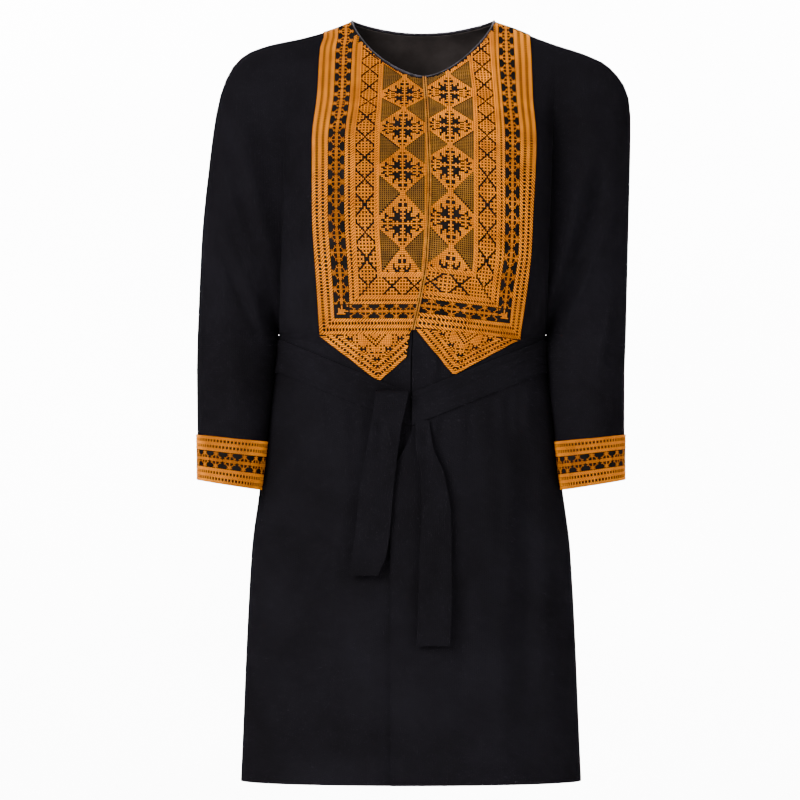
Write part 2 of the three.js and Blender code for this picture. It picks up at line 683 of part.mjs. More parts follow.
function addBelt() {
  const choices = [{ field: 'skirt', across: [0, LAST_COLUMN], down: [BELT_TOP_ROW, BELT_LOW_ROW] }];
  for (const side of SIDES) {
    addPiece(`belt_${side.name}`, clothPiece(side, 'front', choices, LIE_GAP, LIE_GAP + BELT_CLOTH), 'cloth');
  }
  const sheets = SIDES.map((side) => openSideSeams(sheetOf(side, 'back', choices)));
  addPiece('belt_back', joinedWall(sheets, LIE_GAP, LIE_GAP + BELT_CLOTH), 'cloth');
}

/** The skirt front's surface at a place seen from the front. */
function skirtFront(x, drop) {
  const side = x < lean(drop) ? SIDES[0] : SIDES[1];
  const half = Math.abs(x - lean(drop));
  let column = 0;
  for (let pass = 0; pass < 12; pass += 1) {
    const below = drop - beltTop('front', column) - BELT.width / 2;
    column = Math.asin(clamp(half / skirtHalf(below), 0, 1));
  }
  return skirtPointAt(side, 'front', column, drop);
}

const TAIL_STRIPS = 3;

function addTail(side) {
  const rows = TAILS[side.name];
  const points = rows.flatMap(({ drop, from, to, lift }, row) =>
    Array.from({ length: TAIL_STRIPS + 1 }, (_, i) => {
      const x = lean(drop) + mix(from, to, i / TAIL_STRIPS);
      const ripple = 1.2 * Math.sin(i * 1.9 + row * 1.3);
      const lap = side.name === 'right' ? LAP.rise : 0;
      return new THREE.Vector3(x, skirtFront(x, drop).y - lift - lap - ripple, -drop);
    }),
  );
  const triangles = [];
  for (let row = 0; row < rows.length - 1; row += 1) {
    for (let i = 0; i < TAIL_STRIPS; i += 1) {
      const a = row * (TAIL_STRIPS + 1) + i;
      const b = a + TAIL_STRIPS + 1;
      triangles.push([a, b, b + 1], [a, b + 1, a + 1]);
    }
  }
  const forward = points.map(() => new THREE.Vector3(0, -1, 0));
  const wall = wallOf({ points, triangles }, forward, -BELT_CLOTH / 2, BELT_CLOTH / 2);
  addPiece(`belt_tail_${side.name}`, wall, 'cloth');
}

const KNOT = { halfLength: 19, radius: 5.2, drop: 439.5, x: -37, off: 2.65, sides: 8, steps: 6 };

/** The turn of the belt over itself, above the tail that falls from it. */
function addKnot() {
  const front = skirtFront(KNOT.x, KNOT.drop).y - LIE_GAP - BELT_CLOTH - KNOT.off - KNOT.radius;
  const points = [-1, -0.5, 0, 0.5, 1].map(
    (share) => new THREE.Vector3(
      KNOT.x + share * KNOT.halfLength,
      front - 0.8 * (1 - share ** 2),
      -KNOT.drop + 0.6 * share ** 2,
    ),
  );
  addPiece('belt_knot', cordGeometry(points, KNOT.radius, KNOT.sides, KNOT.steps), 'cloth');
}

for (const side of SIDES) {
  addPanels(side);
  addPlastron(side);
  addEdgePiping(side);
  addCuffBand(side);
  addTail(side);
}
addBackNeckFacing();
const bindingCord = cordGeometry(necklinePoints(), BINDING.radius, BINDING.sides, BINDING.steps);
addPiece('neck_binding', bindingCord, 'binding');
addBelt();
addKnot();

export default manteau;
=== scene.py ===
"""A black open-fronted coat: embroidered plastrons and cuffs, a faced neck and a tied belt."""

import logging
import math
from collections.abc import Callable, Sequence
from dataclasses import dataclass, field, replace
from enum import Enum
from functools import reduce
from itertools import product

import bpy
import numpy as np
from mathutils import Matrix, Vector


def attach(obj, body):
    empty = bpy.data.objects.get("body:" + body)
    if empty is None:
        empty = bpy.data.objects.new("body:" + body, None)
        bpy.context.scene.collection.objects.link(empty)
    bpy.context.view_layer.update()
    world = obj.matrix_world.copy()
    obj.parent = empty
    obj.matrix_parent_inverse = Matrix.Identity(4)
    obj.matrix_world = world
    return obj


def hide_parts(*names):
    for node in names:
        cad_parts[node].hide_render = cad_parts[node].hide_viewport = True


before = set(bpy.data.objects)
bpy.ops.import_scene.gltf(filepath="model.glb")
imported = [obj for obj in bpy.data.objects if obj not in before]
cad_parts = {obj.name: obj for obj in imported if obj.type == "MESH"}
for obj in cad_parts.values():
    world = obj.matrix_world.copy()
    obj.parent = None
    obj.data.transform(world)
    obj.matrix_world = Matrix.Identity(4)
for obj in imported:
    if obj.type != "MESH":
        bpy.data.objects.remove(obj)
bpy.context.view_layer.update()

logging.basicConfig(level=logging.INFO, format="%(message)s")
LOG = logging.getLogger("coat")

MM = 0.001  # sizes below are in millimetres, and the frame is in metres
Array = np.ndarray
Table = Sequence[Sequence[float]]
Material = bpy.types.Material
Object = bpy.types.Object
Tree = bpy.types.NodeTree
Socket = bpy.types.NodeSocket

DEG = math.pi / 180
NECK_CORNER = 32.1  # degrees from the centre line to the neckline's corner at the shoulder
FRONT_GAP = 0.6  # how far each front's edge stands from the centre line


class Side(Enum):
    """The wearer's side, as the sign of x."""

    RIGHT = -1
    LEFT = 1


class Face(Enum):
    """The front or the back, as the sign of y that points out of the coat."""

    FRONT = -1
    BACK = 1


# ---------------------------------------------------------------- curves and small sums


def smooth(value: Array, low: float, high: float) -> Array:
    """Rises from 0 at low to 1 at high, with no corner at either."""
    share = np.clip((np.asarray(value, float) - low) / (high - low), 0, 1)
    return share * share * (3 - 2 * share)


def mix(a: Array, b: Array, share: Array) -> Array:
    """The value that lies a share of the way from a to b."""
    return a + (b - a) * share


class Curve:
    """A smooth line through a table's points that never overshoots them."""

    def __init__(self, at: Sequence[float], value: Sequence[float]) -> None:
        """Keeps the points and works out the slope at each.

        Args:
            at: Where the points stand, rising.
            value: Their heights.
        """
        self.at = np.array(at, float)
        self.value = np.array(value, float)
        secants = np.diff(self.value) / np.diff(self.at)
        before, after = secants[:-1], secants[1:]
        product_of_both = before * after
        turning = product_of_both <= 0
        total = np.where(turning, 1, before + after)
        inner = np.where(turning, 0, 2 * product_of_both / total)
        self.slope = np.concatenate([secants[:1], inner, secants[-1:]])

    def __call__(self, where: Array) -> Array:
        """The height at each place, held level past the ends.

        Args:
            where: Places along the line.

        Returns:
            The heights, in the same layout.
        """
        x = np.clip(np.asarray(where, float), self.at[0], self.at[-1])
        i = np.clip(np.searchsorted(self.at, x, side="right") - 1, 0, len(self.at) - 2)
        step = self.at[i + 1] - self.at[i]
        t = (x - self.at[i]) / step
        ease = t * (1 - t)
        rise = mix(self.value[i], self.value[i + 1], t * t * (3 - 2 * t))
        return rise + step * ease * ((1 - t) * self.slope[i] - t * self.slope[i + 1])


def columns_of(table: Table) -> list[tuple[float, ...]]:
    """A table's columns, each as a tuple."""
    return list(zip(*table))


# ---------------------------------------------------------------- meshes


@dataclass
class Sheet:
    """A surface made of quads, with its flat place on the cloth at each corner."""

    points: Array
    quads: Array
    flat: Array  # for each quad, the four corners' (across, down) in millimetres of cloth

    def joined(self, other: "Sheet") -> "Sheet":
        """Both sheets as one, their points still apart."""
        return Sheet(
            np.concatenate([self.points, other.points]),
            np.concatenate([self.quads, other.quads + len(self.points)]),
            np.concatenate([self.flat, other.flat]),
        )


def grid_sheet(points: Array) -> Sheet:
    """A sheet of quads through a grid of points, with flat places measured along its lines.

    Args:
        points: The grid, rows by columns by three.

    Returns:
        The sheet, its quads in the order of the grid.
    """
    rows, columns = points.shape[:2]
    steps = [np.linalg.norm(np.diff(points, axis=a), axis=2) for a in (0, 1)]
    across = np.zeros((rows, columns))
    down = np.zeros((rows, columns))
    across[1:] = np.cumsum(steps[0], axis=0)
    down[:, 1:] = np.cumsum(steps[1], axis=1)
    index = np.arange(rows * columns).reshape(rows, columns)
    corners = [index[:-1, :-1], index[1:, :-1], index[1:, 1:], index[:-1, 1:]]
    quads = np.stack(corners, axis=-1).reshape(-1, 4)
    flat = np.stack([across, down], axis=-1).reshape(-1, 2)
    return Sheet(points.reshape(-1, 3), quads, flat[quads])


WELD = 500  # points closer than 1/500 mm are one


def point_keys(points: Array) -> Array:
    """Whole numbers that are alike for points that are one."""
    return np.round(points * WELD).astype(np.int64)


def welded(sheet: Sheet, facing: float) -> Sheet:
    """Joins a sheet's shared points, drops its empty quads and turns it to face out.

    Args:
        sheet: The sheet.
        facing: Below zero where its quads have to be turned over.

    Returns:
        The joined sheet.
    """
    _, first, place = np.unique(point_keys(sheet.points), axis=0, return_index=True, return_inverse=True)
    quads = place.reshape(-1)[sheet.quads]
    flat = sheet.flat
    if facing < 0:
        quads, flat = quads[:, ::-1], flat[:, ::-1]
    alive = (quads[:, 0] != quads[:, 2]) & (quads[:, 1] != quads[:, 3])
    return Sheet(sheet.points[first], quads[alive], flat[alive])


def quad_normals(points: Array, quads: Array) -> Array:
    """The quads' normals, each as long as twice its quad's area."""
    a, b, c, d = (points[quads[:, i]] for i in range(4))
    return np.cross(c - a, d - b)


def area_of(points: Array, quads: Array) -> float:
    """The quads' area in square metres."""
    return float(np.linalg.norm(quad_normals(points, quads), axis=1).sum() / 2 * MM * MM)


def corner_normals(points: Array, quads: Array) -> Array:
    """The sum of the quads' normals at each point, not yet of length 1."""
    total = np.zeros_like(points)
    np.add.at(total, quads.T, quad_normals(points, quads))
    return total


def unit(vectors: Array) -> Array:
    """The vectors, each of length 1."""
    length = np.linalg.norm(vectors, axis=-1, keepdims=True)
    return vectors / np.maximum(length, 1e-12)


def rim_of(quads: Array) -> Array:
    """The edges that only one quad has.

    Args:
        quads: The quads, all facing the same way.

    Returns:
        Pairs of points, in the order that their quad has them.
    """
    edges = np.concatenate([quads[:, [i, (i + 1) % 4]] for i in range(4)])
    edges = edges[edges[:, 0] != edges[:, 1]]
    size = int(quads.max()) + 1
    own = edges[:, 0] * size + edges[:, 1]
    return edges[~np.isin(own, edges[:, 1] * size + edges[:, 0])]


@dataclass
class Solid:
    """Points and faces ready to become an object's mesh."""

    points: Array
    faces: Array | list[list[int]]
    flat: Array | None = None


def shell(sheet: Sheet, normals: Array, inner: Array, outer: Array) -> Solid:
    """Closes a sheet into a wall between two distances from its surface.

    Args:
        sheet: The sheet, facing out.
        normals: Its normals, of length 1.
        inner: How far out the inside lies, for all points or for each.
        outer: How far out the outside lies.

    Returns:
        The closed wall.
    """
    count = len(sheet.points)
    far = np.broadcast_to(np.asarray(outer, float), (count,))[:, None]
    near = np.broadcast_to(np.asarray(inner, float), (count,))[:, None]
    points = np.concatenate([sheet.points + normals * far, sheet.points + normals * near])
    rim = rim_of(sheet.quads)
    sides = np.stack([rim[:, 1], rim[:, 0], rim[:, 0] + count, rim[:, 1] + count], axis=1)
    quads = np.concatenate([sheet.quads, sheet.quads[:, ::-1] + count, sides])
    flat = np.concatenate([sheet.flat, sheet.flat[:, ::-1], np.zeros((len(sides), 4, 2))])
    return Solid(points, quads, flat)


def make_object(name: str, solid: Solid, finish: Material, crease: float = 50) -> Object:
    """Makes a smooth-shaded object that rides on the coat's one body.

    Args:
        name: The object's name.
        solid: Its points, in millimetres, and faces.
        finish: Its material.
        crease: The angle in degrees above which an edge stays sharp.

    Returns:
        The new object.
    """
    raw_faces = solid.faces.tolist() if isinstance(solid.faces, np.ndarray) else solid.faces
    faces = [list(dict.fromkeys(face)) for face in raw_faces]
    mesh = bpy.data.meshes.new(name)
    mesh.from_pydata((solid.points * MM).tolist(), [], faces)
    if solid.flat is not None:
        layer = mesh.uv_layers.new(name="cloth")
        kept = np.concatenate([
            [corners[list(raw).index(point)] for point in face]
            for raw, face, corners in zip(raw_faces, faces, solid.flat * MM)
        ])
        layer.data.foreach_set("uv", kept.astype(np.float32).ravel())
    mesh.materials.append(finish)
    mesh.validate()
    mesh.shade_smooth()
    mesh.set_sharp_from_angle(angle=math.radians(crease))
    made = bpy.data.objects.new(name, mesh)
    bpy.context.scene.collection.objects.link(made)
    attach(made, "root")
    return made


# ---------------------------------------------------------------- the coat's surface


@dataclass(frozen=True)
class Fold:
    """A soft ridge (rise above 0) or trough (below 0) between two points of one face."""

    half1: float
    drop1: float
    half2: float
    drop2: float
    rise: float
    reach: float

    def height(self, half: Array, drop: Array) -> Array:
        """How far the fold lifts the cloth at each place.

        Args:
            half: Distances from the coat's centre line.
            drop: Distances below the shoulder.

        Returns:
            The lifts.
        """
        run_half, run_drop = self.half2 - self.half1, self.drop2 - self.drop1
        length = math.hypot(run_half, run_drop)
        off_half, off_drop = half - self.half1, drop - self.drop1
        along = (off_half * run_half + off_drop * run_drop) / length
        across = (off_half * run_drop - off_drop * run_half) / length
        start, end = (smooth(run, -self.reach, 3 * self.reach) for run in (along, length - along))
        return self.rise * (start * end) * np.exp(-((across / self.reach) ** 2))


R_FRONT, R_BACK = (Side.RIGHT, Face.FRONT), (Side.RIGHT, Face.BACK)
L_FRONT, L_BACK = (Side.LEFT, Face.FRONT), (Side.LEFT, Face.BACK)

# Folds of each quarter: the largest ones, as on the solid, and below them the creases between.
# Columns: half1, drop1, half2, drop2, rise, reach
FOLDS = {
    R_FRONT: [
        (230, 71, 148, 362, 9, 13), (241, 151, 156, 364, 8, 11), (138, 190, 137, 372, -7, 10),
        (250, 188, 200, 472, 6, 16), (143, 480, 176, 760, 7, 14), (106, 590, 140, 870, -7, 18),
        (236, 112, 168, 352, -3, 7), (244, 205, 170, 372, 3, 7), (247, 232, 178, 384, -2.5, 6),
        (221, 395, 246, 420, 2, 6), (186, 410, 240, 446, -2, 6), (183, 500, 236, 470, 2, 7),
        (72, 470, 80, 640, 2.5, 9), (120, 500, 128, 700, -3, 10), (40, 700, 52, 880, 2.5, 12),
        (84, 620, 98, 885, 3, 12), (160, 620, 171, 880, -3, 10), (148, 260, 150, 366, 3, 6),
    ],
    L_FRONT: [
        (187, 56, 204, 160, 9, 14), (204, 160, 152, 366, 10, 14), (160, 100, 139, 361, -9, 11),
        (220, 179, 176, 352, -9, 11), (251, 300, 214, 433, 7, 13), (141, 480, 134, 820, -10, 16),
        (160, 640, 172, 890, 6, 15),
        (232, 120, 168, 350, -3, 7), (244, 210, 172, 372, 3, 7), (180, 90, 182, 250, 3, 8),
        (222, 395, 247, 428, 2, 6), (186, 405, 238, 452, -2, 6), (184, 505, 238, 476, 2, 7),
        (88, 470, 98, 660, 2.5, 9), (118, 505, 112, 690, 3, 9), (60, 640, 70, 880, -2.5, 12),
        (104, 700, 112, 890, 3, 12), (40, 540, 46, 760, 2, 10), (148, 255, 149, 364, 3, 6),
    ],
    R_BACK: [
        (214, 60, 150, 362, 9, 14), (120, 130, 136, 360, -8, 13), (60, 430, 92, 890, 8, 18),
        (128, 480, 140, 860, -9, 17),
        (240, 130, 166, 352, -3, 8), (170, 90, 160, 300, 3, 9), (90, 120, 112, 330, 2.5, 11),
        (100, 470, 112, 880, 3, 11), (30, 460, 36, 860, -3, 12), (205, 400, 246, 430, 2, 7),
        (50, 300, 62, 372, 2, 8), (96, 290, 104, 372, -2.5, 8),
    ],
    L_BACK: [
        (225, 80, 153, 364, 9, 13), (132, 110, 141, 360, -8, 12), (80, 440, 120, 890, 9, 19),
        (30, 520, 44, 880, -8, 18),
        (236, 140, 164, 350, -3, 8), (176, 96, 158, 290, 3, 9), (86, 150, 108, 335, 2.5, 11),
        (112, 480, 128, 880, -3, 11), (56, 470, 62, 870, 3, 12), (203, 396, 244, 436, 2, 7),
        (44, 305, 56, 372, 2, 8), (100, 295, 108, 372, -2.5, 8),
    ],
}


@dataclass
class CoatSurface:
    """The outer face of the coat's cloth, as the solid has it, with smaller creases added."""

    body_half: float = 158
    hem_drop: float = 900
    neck_half: float = 84
    neck_front_drop: float = 70
    neck_back_drop: float = 14
    neck_roundness: float = 1.35
    neck_flare: float = 1.6
    underarm_drop: float = 372
    underarm_radius: float = 0.5
    underarm_forward: float = -8
    outer_forward: float = -6
    wrist_outer_drop: float = 543
    wrist_inner_drop: float = 555
    wrist_outer_half: float = 252
    wrist_forward: float = -30
    arm_depth_top: float = 52
    arm_depth_wrist: float = 45
    belt_front_drop: float = 440
    belt_droop: float = 0.41
    belt_back_drop: float = 378
    belt_width: float = 39
    lap_width: float = 25
    lap_rise: float = 4
    lap_rise_drops: tuple[float, float] = (400, 475)
    lap_width_drops: tuple[float, float] = (480, 545)
    lean_shift: float = -14.2
    lean_drop: float = 413
    chest_drop: float = 200
    round_power: float = 0.9
    front_flatness: float = 5
    back_flatness: float = 2.6
    # drop, right, left: half width of the outline
    outline: Table = (
        (0, 84, 84), (9.5, 108, 112), (19, 141, 135), (28.5, 184, 162), (38, 208, 192), (52, 223, 221),
        (81, 236, 244), (104, 241, 250), (152, 246.5, 251.5), (271, 254, 252.7), (413, 255, 254),
    )
    # drop, front, back: depth on the centre line
    body_depth: Table = (
        (0, 0, 0), (3, 13, 16), (10, 24, 30), (25, 39, 44), (72, 83, 66), (128, 129, 82), (177, 150, 88),
        (225, 155, 88), (280, 147, 85), (320, 133, 81), (366, 113, 78),
    )
    # along, depth: the armhole ring
    armhole: Table = (
        (0, 0), (0.01, 13), (0.03, 24), (0.07, 36), (0.2, 55), (0.37, 63), (0.55, 64), (0.7, 58),
        (0.85, 40), (0.93, 26), (0.98, 13), (1, 0),
    )
    # below the belt's middle line, half, front, back
    skirt_sections: Table = (
        (-95, 163, 112, 82), (-32, 159, 104, 80), (-7.5, 159, 99.8, 78.3), (0, 159.2, 99, 78),
        (20, 161.8, 101, 80), (60, 168.2, 108, 92), (100, 172.2, 114, 101), (160, 180, 120, 109),
        (230, 189, 125, 114), (500, 202, 130, 122),
    )
    # drop, shift of the front edges towards the wearer's left
    bow: Table = ((0, 0), (30, 0), (72, 4), (116, 8.5), (211, 14), (282, 13), (330, 7), (366, 0))
    # drop, half: the sleeve's inner edge
    inner_sleeve: Table = (
        (372, 158.5), (376, 157), (388, 157.4), (410, 160.3), (450, 164.4), (500, 170.6), (555, 178),
    )
    gather_rise: float = 1.5
    gather_pitch: float = 27
    gather_length: float = 95

    def __post_init__(self) -> None:
        """Turns the tables into curves."""
        drop, right, left = columns_of(self.outline)
        self.outline_half = {Side.RIGHT: Curve(drop, right), Side.LEFT: Curve(drop, left)}
        self.shoulder_drop = {Side.RIGHT: Curve(right, drop), Side.LEFT: Curve(left, drop)}
        drop, front, back = columns_of(self.body_depth)
        self.depth = {Face.FRONT: Curve(drop, front), Face.BACK: Curve(drop, back)}
        below, half, front, back = columns_of(self.skirt_sections)
        self.skirt_half = Curve(below, half)
        self.skirt_depth = {Face.FRONT: Curve(below, front), Face.BACK: Curve(below, back)}
        self.armhole_depth = Curve(*columns_of(self.armhole))
        self.centre_bow = Curve(*columns_of(self.bow))
        self.sleeve_inside = Curve(*columns_of(self.inner_sleeve))
        self.flatness = {Face.FRONT: self.front_flatness, Face.BACK: self.back_flatness}
        self.folds = {quarter: [Fold(*row) for row in rows] for quarter, rows in FOLDS.items()}
        self.underarm_top = self.underarm_drop - self.underarm_radius

    def lean(self, drop: Array) -> Array:
        """How far the coat's centre stands to the wearer's right of the middle plane."""
        return self.lean_shift * np.clip(np.asarray(drop, float) / self.lean_drop, 0, 1)

    def fold_rise(self, side: Side, face: Face, half: Array, drop: Array) -> Array:
        """The height of all of a face's folds, at distances from its centre line and drops."""
        half, drop = np.broadcast_arrays(np.asarray(half, float), np.asarray(drop, float))
        return sum((fold.height(half, drop) for fold in self.folds[side, face]), np.zeros(half.shape))

    def gathers(self, face: Face, half: Array, drop: Array, belt_top: Array) -> Array:
        """Small pleats that the belt draws together just above and below itself.

        Args:
            face: Front or back.
            half: Distances from the centre line.
            drop: Distances below the shoulder.
            belt_top: Drops of the belt's upper edge there.

        Returns:
            The pleats' heights, at or below the surface.
        """
        above = belt_top - drop
        below = drop - belt_top - self.belt_width
        away = np.maximum(above, below)
        near = smooth(away, 0, 14) * (1 - smooth(away, 10, self.gather_length))
        turn = 2 * np.pi * half / self.gather_pitch
        uneven = np.cos(turn + 0.9 * np.sin(turn * 0.37 + face.value)) + 0.5 * np.cos(turn * 1.73 + 1.1)
        return self.gather_rise * near * (uneven - 1.5)

    def place(self, side: Side, face: Face, half: Array, drop: Array, y: Array, share: Array) -> Array:
        """Puts points at their half width and drop, with the folds added to their depth.

        Args:
            side: The wearer's side.
            face: Front or back.
            half: Distances from the centre line.
            drop: Distances below the shoulder.
            y: Places in front of or behind the shoulder plane.
            share: How much of the folds each point takes.

        Returns:
            The points.
        """
        half, drop, y, share = np.broadcast_arrays(half, drop, y, share)
        shift = self.lean(drop)
        if face is Face.FRONT:
            shift = shift + self.centre_bow(drop) * np.clip(1 - half / self.body_half, 0, 1)
        lifted = y + face.value * share * self.fold_rise(side, face, half, drop)
        return np.stack([shift + side.value * half, lifted, -drop], axis=-1)

    def top_drop(self, side: Side, face: Face, half: Array) -> Array:
        """Drop of the body's top edge: the neckline, then the shoulder line.

        Args:
            side: The wearer's side.
            face: Front or back.
            half: Distances from the centre line.

        Returns:
            The drops.
        """
        share = np.clip(half / self.neck_half, 0, 1)
        back = self.neck_back_drop * (1 - share**2)
        front = self.neck_front_drop * (1 - share**self.neck_flare) ** (1 / self.neck_roundness)
        return np.where(
            half >= self.neck_half, self.shoulder_drop[side](half), front if face is Face.FRONT else back
        )

    def body_y(self, side: Side, face: Face, half: Array, drop: Array) -> tuple[Array, Array]:
        """Depth of the body's smooth form, and its share of the folds.

        Args:
            side: The wearer's side.
            face: Front or back.
            half: Distances from the centre line.
            drop: Distances below the shoulder.

        Returns:
            Places in front of or behind the shoulder plane, and shares of the folds.
        """
        half, drop = np.broadcast_arrays(np.asarray(half, float), np.asarray(drop, float))
        shoulder = np.where(half > self.neck_half, self.shoulder_drop[side](half), 0)
        below = drop - shoulder
        ring = np.clip(below / (self.underarm_top - shoulder), 0, 1)
        side_depth = self.armhole_depth(ring) + face.value * self.underarm_forward * ring
        share = np.clip(half / self.body_half, 0, 1)
        flat = 1 - share ** self.flatness[face]
        rounded = np.sqrt(1 - share**2) ** self.round_power
        shape = np.maximum(mix(flat, rounded, smooth(drop, self.chest_drop, self.underarm_top)), 0)
        depth = mix(side_depth, self.depth[face](below), shape)
        top = self.top_drop(side, face, half)
        along = np.clip((drop - top) / (self.underarm_top - top), 0, 1)
        fade = mix(1, self.fold_fade(ring), share**4)
        fade = fade * np.minimum(1, along * 20 + (half < self.neck_half))
        return face.value * depth, fade

    @staticmethod
    def fold_fade(along: Array) -> Array:
        """Folds fade out towards the seams at both ends of a ring."""
        return np.minimum(1, 2.2 * np.sqrt(np.maximum(along * (1 - along), 0)))

    def body(self, side: Side, face: Face, column: Array, along: Array) -> Array:
        """Points of the body, between the neck or shoulder line and the underarm's level.

        Args:
            side: The wearer's side.
            face: Front or back.
            column: Angles round the body, from the centre line to the side.
            along: Shares of the way down.

        Returns:
            The points.
        """
        half = self.body_half * np.sin(column)
        drop = mix(self.top_drop(side, face, half), self.underarm_top, along)
        y, share = self.body_y(side, face, half, drop)
        gather = self.gathers(face, half, drop, self.belt_top(face, column)) * np.cos(column)
        return self.place(side, face, half, drop, y + face.value * gather, share)

    def reach_outline(self, side: Side, angle: Array) -> Array:
        """Distance from the underarm to the outline.

        Args:
            side: The wearer's side.
            angle: Angles from straight up.

        Returns:
            The distances.
        """
        near = np.full(np.shape(angle), self.underarm_radius)
        far = np.full(np.shape(angle), 500.0)
        while np.max(far - near) > 0.01:
            reach = (near + far) / 2
            drop = self.underarm_drop - reach * np.cos(angle)
            half = self.body_half + reach * np.sin(angle)
            inside = (drop > 0) & (half < self.outline_half[side](drop))
            near, far = np.where(inside, reach, near), np.where(inside, far, reach)
        return near

    def fan(self, side: Side, face: Face, angle: Array, along: Array) -> Array:
        """Points of the batwing, on rays from the underarm out to the outline.

        Args:
            side: The wearer's side.
            face: Front or back.
            angle: The rays' angles from straight up.
            along: Shares of the way in along a ray.

        Returns:
            The points.
        """
        reach = mix(self.reach_outline(side, angle), self.underarm_radius, along)
        half = self.body_half + reach * np.sin(angle)
        drop = self.underarm_drop - reach * np.cos(angle)
        depth = mix(
            self.armhole_depth(along),
            self.ring_depth(self.arm_depth_top, along),
            smooth(angle, 0, math.pi / 2),
        )
        middle = mix(self.outer_forward * angle / (math.pi / 2), self.underarm_forward, along)
        y = middle + face.value * depth
        return self.place(side, face, half, drop, y, self.fold_fade(along))

    @staticmethod
    def ring_depth(depth: Array, along: Array) -> Array:
        """Depth of an oval ring at a share of the way across it."""
        return depth * np.sqrt(np.maximum(1 - (2 * along - 1) ** 2, 0))

    def sleeve(self, side: Side, face: Face, down: Array, along: Array) -> Array:
        """Points of the sleeve below the underarm.

        Args:
            side: The wearer's side.
            face: Front or back.
            down: Shares of the way down to the cuff's edge.
            along: Shares of the way across, from the outer edge to the inner one.

        Returns:
            The points.
        """
        inner_drop = mix(self.underarm_drop, self.wrist_inner_drop, down)
        outer_drop = mix(self.underarm_drop, self.wrist_outer_drop, down)
        outer_half = mix(self.outline_half[side](self.underarm_drop), self.wrist_outer_half, down)
        half = mix(outer_half, self.sleeve_inside(inner_drop), along)
        depth = self.ring_depth(mix(self.arm_depth_top, self.arm_depth_wrist, down), along)
        top_middle = mix(self.outer_forward, self.underarm_forward, along)
        middle = mix(top_middle, self.wrist_forward, smooth(down, -0.15, 1))
        y = middle + face.value * depth
        return self.place(side, face, half, mix(outer_drop, inner_drop, along), y, self.fold_fade(along))

    def belt_top(self, face: Face, column: Array) -> Array:
        """Drop of the belt's upper edge, which dips to the knot in front of the coat."""
        dipped = self.belt_front_drop - self.belt_droop * self.body_half * np.sin(column)
        level = np.full(np.shape(column), float(self.belt_back_drop))
        return np.maximum(dipped, level) if face is Face.FRONT else level

    def skirt(self, side: Side, face: Face, column: Array, drop: Array) -> Array:
        """Points of the waist and the skirt.

        Args:
            side: The wearer's side.
            face: Front or back.
            column: Angles round the body, from the centre line to the side.
            drop: Distances below the shoulder.

        Returns:
            The points.
        """
        column, drop = np.broadcast_arrays(column, drop)
        top = self.belt_top(face, column)
        below = drop - top - self.belt_width / 2
        share = np.sin(column)
        middle = self.underarm_forward * (1 - smooth(drop, self.belt_front_drop, self.hem_drop))
        shape = np.abs(np.cos(column)) ** self.round_power
        depth = mix(face.value * middle, self.skirt_depth[face](below), shape)
        depth = depth + self.gathers(face, self.skirt_half(below) * share, drop, top) * np.cos(column)
        lap = 0.0
        if (side, face) == L_FRONT:
            depth = depth + self.lap_rise * smooth(drop, *self.lap_rise_drops) * (1 - share) ** 1.5
            lap = self.lap_width * smooth(drop, *self.lap_width_drops) * (1 - share) ** 6
        half = self.skirt_half(below) * share
        points = self.place(side, face, half, drop, face.value * depth, 1 - share**4)
        points[..., 0] -= side.value * lap
        return points

    def waist(self, side: Side, face: Face, column: Array, share: Array) -> Array:
        """Points between the body's last ring and the belt's upper edge.

        Args:
            side: The wearer's side.
            face: Front or back.
            column: Angles round the body.
            share: Shares of the way down.

        Returns:
            The points.
        """
        column, share = np.broadcast_arrays(column, share)
        drop = mix(self.underarm_top, self.belt_top(face, column), share)
        half = self.body_half * np.sin(column)
        y, folds = self.body_y(side, face, half, drop)
        y = y + face.value * self.gathers(face, half, drop, self.belt_top(face, column)) * np.cos(column)
        upper = self.place(side, face, half, drop, y, folds)
        return mix(upper, self.skirt(side, face, column, drop), smooth(share, 0, 0.5)[..., None])

    def front_point(self, side: Side, x: Array, drop: Array) -> Array:
        """Points of the front surface, given where they stand when seen from the front.

        Args:
            side: The wearer's side.
            x: Places across.
            drop: Distances below the shoulder.

        Returns:
            The points.
        """
        x, drop = np.broadcast_arrays(np.asarray(x, float), np.asarray(drop, float))
        bow = self.centre_bow(drop)
        half = (x - self.lean(drop) - bow) / (side.value - bow / self.body_half)
        half = np.clip(half, 0, self.body_half - 0.01)
        column = np.arcsin(half / self.body_half)
        y, share = self.body_y(side, Face.FRONT, half, drop)
        folds = self.fold_rise(side, Face.FRONT, half, drop)
        gather = self.gathers(Face.FRONT, half, drop, self.belt_top(Face.FRONT, column))
        upper = y - gather * np.cos(column) - share * folds
        lower_half = np.abs(x - self.lean(drop))
        for _ in range(12):
            below = drop - self.belt_top(Face.FRONT, column) - self.belt_width / 2
            column = np.arcsin(np.clip(lower_half / self.skirt_half(below), 0, 0.9999))
        lower = self.skirt(side, Face.FRONT, column, drop)[..., 1]
        top = self.belt_top(Face.FRONT, column)
        low = smooth((drop - self.underarm_top) / np.maximum(top - self.underarm_top, 1), 0, 0.5)
        return np.stack([x, mix(upper, lower, low), -drop], axis=-1)

    def front_normal(self, side: Side, x: Array, drop: Array) -> Array:
        """Normals of the front surface, by small steps across and down.

        Args:
            side: The wearer's side.
            x: Places across.
            drop: Distances below the shoulder.

        Returns:
            The normals, of length 1.
        """
        step = 0.5
        across = self.front_point(side, x + step, drop) - self.front_point(side, x - step, drop)
        down = self.front_point(side, x, drop + step) - self.front_point(side, x, drop - step)
        return unit(np.cross(down, across))


# ---------------------------------------------------------------- cloth panels


